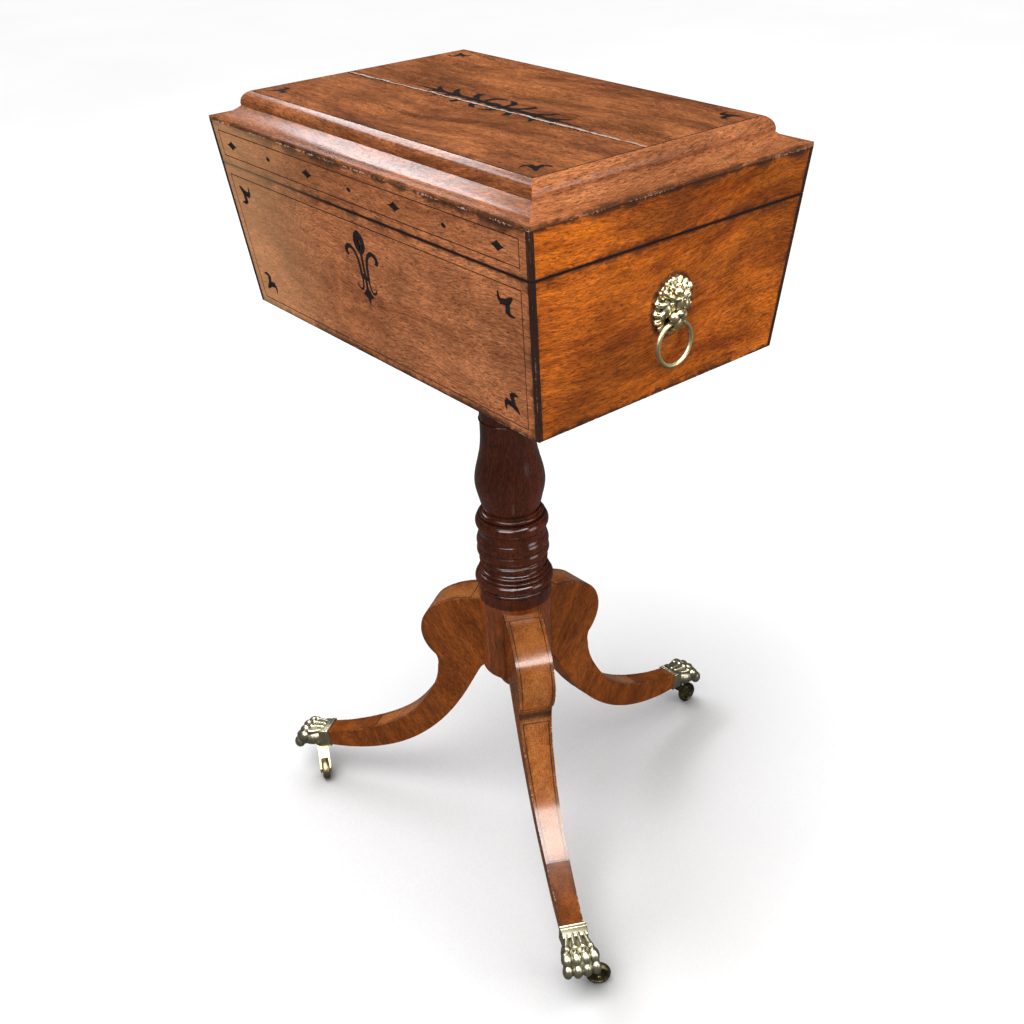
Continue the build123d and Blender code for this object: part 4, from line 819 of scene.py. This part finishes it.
class TEAPOY_OT_stage(bpy.types.Operator):
    """Camera, pale floor and soft studio light"""

    bl_idname = "teapoy.stage"
    bl_label = "Stage"

    def execute(self, context):
        looks = context.scene.teapoy_stage
        context.scene.view_settings.view_transform = "Standard"
        self.camera(context.scene, looks)
        self.floor(looks)
        self.world(context.scene, looks)
        self.lamps(context.scene, looks)
        return {"FINISHED"}

    def camera(self, scene, looks):
        """Camera with a shifted lens, from its three directions."""
        camera = bpy.data.objects.new("Camera", bpy.data.cameras.new("Camera"))
        scene.collection.objects.link(camera)
        camera.data.sensor_width = 36.0
        camera.data.lens = looks.lens
        camera.data.shift_x = -0.0335
        camera.data.shift_y = -0.00345
        right = Vector((0.65288, 0.75698, -0.02699))
        up = Vector((-0.3707, 0.35038, 0.86013))
        behind = Vector((0.66056, -0.55155, 0.50937))
        turn = Matrix((right, up, behind)).transposed()
        camera.matrix_world = Matrix.Translation(looks.camera) @ turn.to_4x4()
        scene.camera = camera

    def floor(self, looks):
        """Pale floor, darker where the piece keeps light from it."""
        bpy.ops.object.select_all(action="DESELECT")
        bpy.ops.mesh.primitive_plane_add(size=40, location=(0, 0, 0))
        floor = bpy.context.object
        floor.name = "floor"
        material, tree, shader = new_material("Pale floor")
        cloud = noise(tree, object_coordinates(tree), 1.3, 4.0, 0.55)
        dimmed = tuple(0.97 * part for part in looks.floor)
        seen = mix(tree, remap(cloud, 0.3, 0.7), looks.floor, dimmed)
        sky = add_node(tree, "ShaderNodeAmbientOcclusion", {"Distance": 0.75}, samples=8).outputs["AO"]
        deep = tuple(0.45 * part for part in looks.floor)
        seen = mix(tree, remap(Field(tree, sky), 0.35, 0.97), deep, seen)
        rays = tree.nodes.new("ShaderNodeLightPath").outputs
        unseen = mix(tree, rays["Is Glossy Ray"], looks.bounce, looks.sheen)
        feed(tree, mix(tree, rays["Is Camera Ray"], unseen, seen), shader.inputs["Base Color"])
        shader.inputs["Roughness"].default_value = 0.9
        shader.inputs["Specular IOR Level"].default_value = 0.1
        floor.data.materials.append(material)

    def world(self, scene, looks):
        """White backdrop for the camera, even light for the wood and a dim room for its polish."""
        world = bpy.data.worlds.new("Studio")
        scene.world = world
        world.use_nodes = True
        world.cycles.sampling_method = "NONE"
        tree = world.node_tree
        tree.nodes.clear()
        rays = tree.nodes.new("ShaderNodeLightPath").outputs
        even, dim, white = (
            add_node(tree, "ShaderNodeBackground", (tint, strength)).outputs[0]
            for tint, strength in (
                ((1.0, 1.0, 1.0), looks.room),
                ((1.0, 0.98, 0.97), looks.room * looks.mirrored),
                ((1.0, 1.0, 1.0), 1.0),
            )
        )
        blend = add_node(tree, "ShaderNodeMixShader", (rays["Is Glossy Ray"], even, dim)).outputs[0]
        seen = add_node(tree, "ShaderNodeMixShader", (rays["Is Camera Ray"], blend, white)).outputs[0]
        add_node(tree, "ShaderNodeOutputWorld", (seen,))

    def lamps(self, scene, looks):
        """Soft directed daylight and four softboxes."""
        sun = bpy.data.lights.new("Daylight", "SUN")
        sun.energy = looks.daylight
        sun.angle = math.radians(45)
        lamp = bpy.data.objects.new("Daylight", sun)
        scene.collection.objects.link(lamp)
        lamp.rotation_euler = Vector((0.1, -0.34, 0.93)).to_track_quat("Z", "Y").to_euler()
        self.softbox(
            "Window", (-2.1, -0.25, 2.3), (0.0, -0.15, 0.75), (1.9, 0.55), looks.window, (0.97, 0.96, 1.0)
        )
        self.softbox(
            "Side light", (2.1, 1.0, 0.95), (0.2, -0.1, 0.6), (1.1, 1.2), looks.side, (1.0, 0.98, 0.95)
        )
        self.softbox(
            "Ceiling", (1.1, -0.28, 2.15), (0.1, -0.12, 0.15), (1.6, 1.25), looks.overhead,
            (1.0, 0.99, 0.97), mirrored_only=True,
        )
        self.softbox(
            "Front light", (0.95, -1.8, 1.8), (0.0, -0.1, 0.35), (1.6, 0.6), looks.front,
            (0.9, 0.95, 1.0), mirrored_only=True,
        )

    def softbox(self, name, place, target, size, power, tint, mirrored_only=False):
        """Rectangular area light that faces a point."""
        light = bpy.data.lights.new(name, "AREA")
        light.shape = "RECTANGLE"
        light.size, light.size_y = size
        light.energy = power
        light.color = tint
        box = bpy.data.objects.new(name, light)
        bpy.context.scene.collection.objects.link(box)
        away = Vector(place) - Vector(target)
        box.matrix_world = Matrix.Translation(place) @ away.to_track_quat("Z", "Y").to_matrix().to_4x4()
        box.visible_diffuse = not mirrored_only


class TEAPOY_OT_chest(bpy.types.Operator):
    """Finish the chest: figured front, ends, ebony strips, stringing and escutcheon"""

    bl_idname = "teapoy.chest"
    bl_label = "Chest"

    def execute(self, context):
        looks = context.scene.teapoy_woods
        front, tree, shader, tone = wood(
            "Chest front", ALONG_X, looks.front_light, looks.front_dark, gloss=0.34, blotches=0.9, edged=True,
            dirt=0.9, coat=0.4,
        )[:4]
        along, deep, _ = coordinates(tree, object_coordinates(tree))
        # Painted sheen: the front turns paler towards its left end, standing in for a reflection
        sheened = remap(along, CHEST_LOW.x, AXIS_X - 0.02, 0.42, 0.0) * (deep < AXIS_Y)
        feed(tree, mix(tree, sheened, tone, looks.shine), shader.inputs["Base Color"])
        dress(front, "carcass_front", "carcass_back", "lid_front_rail", "lid_back_rail")
        end, tree, shader, tone = wood(
            "Chest end", ALONG_Y, looks.end_light, looks.end_dark, streaks=0.6, gloss=0.36, blotches=1.1,
            edged=True, dirt=0.9, coat=0.25,
        )[:4]
        # Painted shade round the mask on each end
        feed(tree, mix(tree, self.mask_shade(tree), tone, looks.grime_and_shade), shader.inputs["Base Color"])
        dress(end, "carcass_left", "carcass_right", "lid_left_rail", "lid_right_rail")
        dress(ebony_finish("Ebony inlay")[0], "front_corner_darts", "frieze_diamonds", "escutcheon")
        strips = wood(
            "Corner strips", ALONG_Z, looks.strip_light, looks.strip_dark, gloss=0.3, edged=True, wear=0.25
        )[0]
        dress(
            strips, "carcass_corner_strips", "lid_corner_strips", "front_stringing", "frieze_stringing",
            "top_stringing",
        )
        return {"FINISHED"}

    def mask_shade(self, tree):
        """Painted shade: the wood darkened in a ring round the edge of a mask."""
        low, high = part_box("lion_mask_right")
        place = object_coordinates(tree)
        centred = add_node(
            tree, "ShaderNodeMapping",
            {"Vector": place, "Location": (0, (low.y + high.y) / 2, (low.z + high.z) / 2),
             "Scale": (1, (high.y - low.y) / 2, (high.z - low.z) / 2)},
            vector_type="TEXTURE",
        ).outputs[0]
        flat = vector_math(tree, "MULTIPLY", centred, (0, 1, 1))[0]
        ring = vector_math(tree, "LENGTH", flat)["Value"]
        ragged = noise(tree, place, 240.0, roughness=0.6) * -0.16 + ring
        return remap(ragged, 0.9, 1.08, 0.8, 0.0)


class TEAPOY_OT_lid(bpy.types.Operator):
    """Finish the lid: cornice and the split panel"""

    bl_idname = "teapoy.lid"
    bl_label = "Lid"

    def execute(self, context):
        looks = context.scene.teapoy_woods
        long_sides = wood(
            "Cornice, long sides", ALONG_X, looks.top_light, looks.top_dark, gloss=0.2, edged=True, wear=1.0
        )[0]
        dress(long_sides, "cornice_long_sides")
        short_sides = wood(
            "Cornice, short sides", ALONG_Y, looks.front_light, looks.front_dark, gloss=0.26, edged=True,
            wear=0.3, coat=0.5,
        )[0]
        dress(short_sides, "cornice_short_sides")
        panel, tree, shader, tone, height = wood(
            "Lid panel", ALONG_X, looks.top_light, looks.top_dark, streaks=0.55, gloss=0.3, blotches=0.7,
            coat=0.5,
        )
        self.split(tree, shader, tone, height)
        dress(panel, "lid_panel")
        inlay, tree, shader, tone, height = ebony_finish("Ebony inlay of the lid")
        self.split(tree, shader, tone, height)
        dress(inlay, "top_inlays")
        return {"FINISHED"}

    def split(self, tree, shader, tone, height):
        """Run the old split through a finish of the lid."""
        looks = bpy.context.scene.teapoy_woods
        split = place_group(tree, "Lid Split", {"Vector": object_coordinates(tree)})
        tone = mix(tree, split["Edge"], tone, looks.broken)
        # Painted shadow: the dark line beside the split takes the dark joint colour
        tone = mix(tree, split["Crack and shadow"], tone, looks.grime_and_shade)
        feed(tree, tone, shader.inputs["Base Color"])
        feed(tree, bump(tree, split["Crack and shadow"] * -6.0 + height, WOOD_RELIEF), shader.inputs["Normal"])


class TEAPOY_OT_fittings(bpy.types.Operator):
    """Finish the lock, the hinges, the canisters, the partitions and the mixing bowl"""

    bl_idname = "teapoy.fittings"
    bl_label = "Fittings"

    def execute(self, context):
        looks = context.scene.teapoy_woods
        brasses = context.scene.teapoy_brass
        inner = wood("Canister wood", ALONG_Y, looks.leg_light, looks.leg_dark, gloss=0.32)[0]
        dress(
            inner, "canister_left", "canister_right", "canister_left_lid", "canister_right_lid",
            "partitions", "bowl_platform",
        )
        hidden = wood("Hidden wood", ALONG_X, looks.leg_light, looks.leg_dark, streaks=0.2, gloss=0.55)[0]
        dress(hidden, "carcass_bottom", "bearer")
        dress(ebony_finish("Ebony knobs")[0], "canister_left_knob", "canister_right_knob")
        hardware = brass_finish("Brass hardware", brasses.bright, brasses.dull)
        dress(
            hardware, "lock_case", "link_plate", "carcass_hinge_leaves", "lid_hinge_leaves", "ring_left",
            "ring_right",
        )
        steel = brass_finish("Steel", (0.55, 0.55, 0.56), (0.28, 0.27, 0.26))
        dress(
            steel, "lock_bolt", "hinge_pins", "carcass_hinge_screws", "lid_hinge_screws", "bearer_screws"
        )
        glass, tree, shader = new_material("Clear glass")
        place = object_coordinates(tree)
        shader.inputs["Base Color"].default_value = (0.93, 0.97, 0.95, 1.0)
        shader.inputs["Transmission Weight"].default_value = 1.0
        shader.inputs["IOR"].default_value = 1.5
        feed(tree, remap(noise(tree, place, 60.0), 0.3, 0.7, 0.02, 0.07), shader.inputs["Roughness"])
        dress(glass, "mixing_bowl")
        return {"FINISHED"}


class TEAPOY_OT_stand(bpy.types.Operator):
    """Finish the pillar, the legs and the castors"""

    bl_idname = "teapoy.stand"
    bl_label = "Stand"

    def execute(self, context):
        looks = context.scene.teapoy_woods
        brasses = context.scene.teapoy_brass
        pillar, tree, shader, tone = wood(
            "Pillar wood", ALONG_Z, looks.pillar_light, looks.pillar_dark, streaks=0.3, gloss=0.2, coat=1.6
        )[:4]
        rise = coordinates(tree, object_coordinates(tree))[2]
        block = remap(rise, BLOCK_TOP - 0.002, BLOCK_TOP, 1.0, 0.0)
        feed(tree, mix(tree, block, tone, BLOCK_LIFT, "MULTIPLY"), shader.inputs["Base Color"])
        dress(pillar, "pillar")
        for name, angle in LEGS.items():
            dress(leg_finish("Leg wood, " + name.replace("_", " "), math.radians(angle)), "leg_" + name)
        # The castors under the front right and back paws take a darker copy as painted shade; the front left
        # one is the lit copy
        bright = brass_finish("Castor, bright", brasses.dull, brasses.dull, rubbed=1.0)
        dark = brass_finish("Castor, dark", brasses.dull, brasses.castor_tarnish_and_shade, rubbed=0.0)
        for name in LEGS:
            metal = bright if name == "front_left" else dark
            dress(metal, "castor_fork_" + name, "castor_wheel_" + name, "castor_axle_" + name)
        return {"FINISHED"}


class TEAPOY_OT_paws(bpy.types.Operator):
    """Model one lion's paw and put a copy on each leg"""

    bl_idname = "teapoy.paws"
    bl_label = "Paws"

    def execute(self, context):
        looks = context.scene.teapoy_paw
        brasses = context.scene.teapoy_brass
        bpy.ops.object.select_all(action="DESELECT")
        paw = cast("paw_form", self.forms(looks), looks.voxel, 8)
        drill(paw, (STEM_REACH, 0, 38.0), STEM_HOLE, 27.0, "Z")
        paw = join("paw_form", [paw, *self.sleeve(looks)])
        metal = brass_finish("Paw brass", brasses.paw_bright, brasses.paw_dull, modelled=True, rubbed=0.5)
        for name, angle in LEGS.items():
            matrix = Matrix.Translation((AXIS_X, AXIS_Y, 0)) @ Matrix.Rotation(math.radians(angle), 4, "Z")
            place_copy(paw, "paw_casting_" + name, matrix, "stand", "paw_" + name, metal)
        bpy.data.objects.remove(paw)
        return {"FINISHED"}

    def sleeve(self, looks):
        """The socket over the leg's toe, with two mouldings at its mouth."""
        width = looks.sleeve_width / MM
        heel = looks.heel / MM
        return [
            rounded_block((heel + 7.0, 0, 52.6), (12.6, width, 19.4), 11, 0.9),
            rounded_block((heel + 1.2, 0, 53.6), (1.5, width + 1.3, 20.6), 11, 0.6),
            rounded_block((heel + 4.2, 0, 53.1), (1.3, width + 1.1, 20.2), 11, 0.5),
        ]

    def forms(self, looks):
        """Rounded body, and the toes with their tendons and knobs."""
        step = looks.spread / MM / 3
        thick = looks.toe_radius / MM
        body = swelling((253.0, 0, 48.0), (18.5, 16.8, 12.0), (0, 14, 0))
        slice_off(body, millimetres(0, 0, PAW_BASE), (0, 0, 1))
        forms = [
            body,
            swelling((245.5, 0, 49.5), (9.0, 12.8, 10.8)),
            swelling((262.0, 0, 43.8), (10.6, 16.6, 6.8)),
        ]
        bpy.ops.mesh.primitive_cylinder_add(
            vertices=32, radius=0.0082, depth=0.008, location=millimetres(STEM_REACH, 0, 42.2)
        )
        forms.append(bpy.context.object)
        for number in range(4):
            across = number - 1.5
            drop = 0.8 * across**2
            back = 0.9 * across**2
            root = (240.5, 0.62 * step * across, 61.0 - 0.5 * drop)
            knob = (253.6 - 0.4 * back, 0.86 * step * across, 59.4 - drop)
            forms += finger(root, knob, 1.8, 2.3)
            forms.append(swelling((knob[0] + 1.0, knob[1], knob[2] + 0.3), (3.1, 2.9, 3.0)))
            knuckle = (262.2 - back, 0.98 * step * across, 53.2 - drop)
            forms.append(swelling(knuckle, (7.4, thick, thick + 0.9), (0, 38, 0)))
            end = (268.4 - back, 1.02 * step * across, 43.4 - 0.5 * drop)
            forms.append(swelling(end, (looks.tip / MM - 268.6, thick - 0.4, 7.6), (0, -8, 0)))
            forms.append(swelling((end[0] + 3.2, end[1], end[2] - 2.6), (2.4, 1.9, 2.2)))
        return forms


class TEAPOY_OT_masks(bpy.types.Operator):
    """Model one lion mask and put a copy on each end of the chest"""

    bl_idname = "teapoy.masks"
    bl_label = "Lion masks"

    def execute(self, context):
        looks = context.scene.teapoy_mask
        brasses = context.scene.teapoy_brass
        bpy.ops.object.select_all(action="DESELECT")
        mask = cast("mask_form", self.face() + self.mane(looks), looks.voxel, 7)
        drill(mask, RING_PIVOT, RING_HOLE, 18.0, "X")
        slice_off(mask, (0, 0, 0.0001), (0, 0, 1))
        metal = brass_finish("Mask brass", brasses.bright, brasses.paw_dull, modelled=True, rubbed=0.7)
        for side, hand in (("left", -1), ("right", 1)):
            low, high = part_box("lion_mask_" + side)
            outward = Vector((hand, 0, -LEAN)).normalized()
            across = Vector((0, hand, 0))
            upward = outward.cross(across)
            middle_z = (low.z + high.z) / 2
            reach = HALF_LENGTH - LEAN * (RIM - middle_z)
            matrix = Matrix((across, upward, outward)).transposed().to_4x4()
            matrix.translation = (AXIS_X + hand * reach, AXIS_Y, middle_z)
            place_copy(
                mask, "mask_casting_" + side, matrix, "stand", "lion_mask_" + side, metal
            )
        bpy.data.objects.remove(mask)
        return {"FINISHED"}

    def face(self):
        """Skull, brow, eyes, nose, muzzle and jaw."""
        forms = [
            swelling((0, 0, 0.6), (18.6, 22.6, 2.8)),
            swelling((0, 4.0, 2.6), (12.4, 14.0, 5.6)),
            swelling((0, 13.4, 7.0), (4.8, 3.6, 3.6)),
            swelling((0, 8.6, 7.6), (9.6, 1.9, 3.0)),
            swelling((0, 2.6, 8.0), (2.9, 7.4, 3.4), (8, 0, 0)),
            swelling((0, -3.4, 10.2), (4.4, 2.6, 2.5)),
            swelling((0, -12.0, 5.6), (7.0, 7.6, 5.8)),
            swelling((0, -6.2, 6.8), (6.6, 4.4, 3.4)),
            swelling((0, -20.4, 2.0), (5.0, 3.4, 2.9)),
        ]
        for hand in (-1, 1):
            forms += [
                swelling((hand * 7.2, 10.4, 7.0), (4.4, 2.2, 3.0), (0, 0, hand * 24)),
                swelling((hand * 6.4, 4.6, 6.4), (2.5, 1.8, 2.0)),
                swelling((hand * 4.3, -6.4, 8.4), (4.6, 4.2, 3.6)),
                swelling((hand * 9.6, -0.6, 4.8), (3.6, 5.6, 3.4)),
                swelling((hand * 12.2, 13.4, 4.6), (2.7, 3.9, 3.2), (0, 0, hand * -35)),
            ]
        return forms

    def mane(self, looks):
        """Two rows of thick locks, each curled over at its end, swept round the face."""
        forms = []
        rows = ((looks.locks, 0.78, 1.4, 1.0), (looks.locks - 3, 0.6, 4.0, -1.0))
        for count, share, height, hand in rows:
            for number in range(count):
                turn = 2 * math.pi * (number + 0.5) / count
                outward = Vector((math.sin(turn), math.cos(turn), 0))
                across = Vector((math.cos(turn), -math.sin(turn), 0)) * hand
                reach = Vector((share * looks.width / 2 / MM, share * looks.height / 2 / MM, 0))
                middle = Vector((reach.x * outward.x, reach.y * outward.y, height))
                if share < 0.7 and middle.y < -3:
                    continue
                if middle.y < -8:
                    middle.z = 0.8
                lean = -math.degrees(turn) - 24 * hand
                forms.append(swelling(middle, (1.8, 4.8, 2.8), (0, 0, lean)))
                forms.append(swelling(middle + 2.0 * across - 0.8 * outward, (1.1, 4.2, 2.2), (0, 0, lean)))
                curl = middle + 2.6 * outward + 1.5 * across
                forms.append(swelling(curl, (1.7, 1.7, 2.4)))
        return forms


class TEAPOY_PT_sidebar(bpy.types.Panel):
    """Lists the teapoy's steps and sizes"""

    bl_idname = "TEAPOY_PT_sidebar"
    bl_label = "Teapoy"
    bl_space_type = "VIEW_3D"
    bl_region_type = "UI"
    bl_category = "Teapoy"

    def draw(self, context):
        layout = self.layout
        for operator in OPERATORS:
            layout.operator(operator.bl_idname)
        for key, group in GROUPS.items():
            box = layout.box()
            for name in group.__annotations__:
                box.prop(getattr(context.scene, key), name)


GROUPS = {
    "teapoy_woods": TeapoyWoods,
    "teapoy_brass": TeapoyBrass,
    "teapoy_paw": TeapoyPaw,
    "teapoy_mask": TeapoyMask,
    "teapoy_stage": TeapoyStage,
}
OPERATORS = [
    TEAPOY_OT_stage,
    TEAPOY_OT_chest,
    TEAPOY_OT_lid,
    TEAPOY_OT_fittings,
    TEAPOY_OT_stand,
    TEAPOY_OT_paws,
    TEAPOY_OT_masks,
]


def register():
    """Register the properties, the operators and the panel."""
    for key, group in GROUPS.items():
        bpy.utils.register_class(group)
        setattr(bpy.types.Scene, key, bpy.props.PointerProperty(type=group))
    for cls in [*OPERATORS, TEAPOY_PT_sidebar]:
        bpy.utils.register_class(cls)


def unregister():
    """Take the panel, the operators and the properties away again."""
    for cls in reversed([*OPERATORS, TEAPOY_PT_sidebar]):
        bpy.utils.unregister_class(cls)
    for key, group in reversed(GROUPS.items()):
        delattr(bpy.types.Scene, key)
        bpy.utils.unregister_class(group)


def main():
    """Build the scene step by step."""
    register()
    build_groups()
    bpy.ops.teapoy.stage()
    bpy.ops.teapoy.chest()
    bpy.ops.teapoy.lid()
    bpy.ops.teapoy.fittings()
    bpy.ops.teapoy.stand()
    bpy.ops.teapoy.paws()
    bpy.ops.teapoy.masks()


if __name__ == "__main__":
    main()
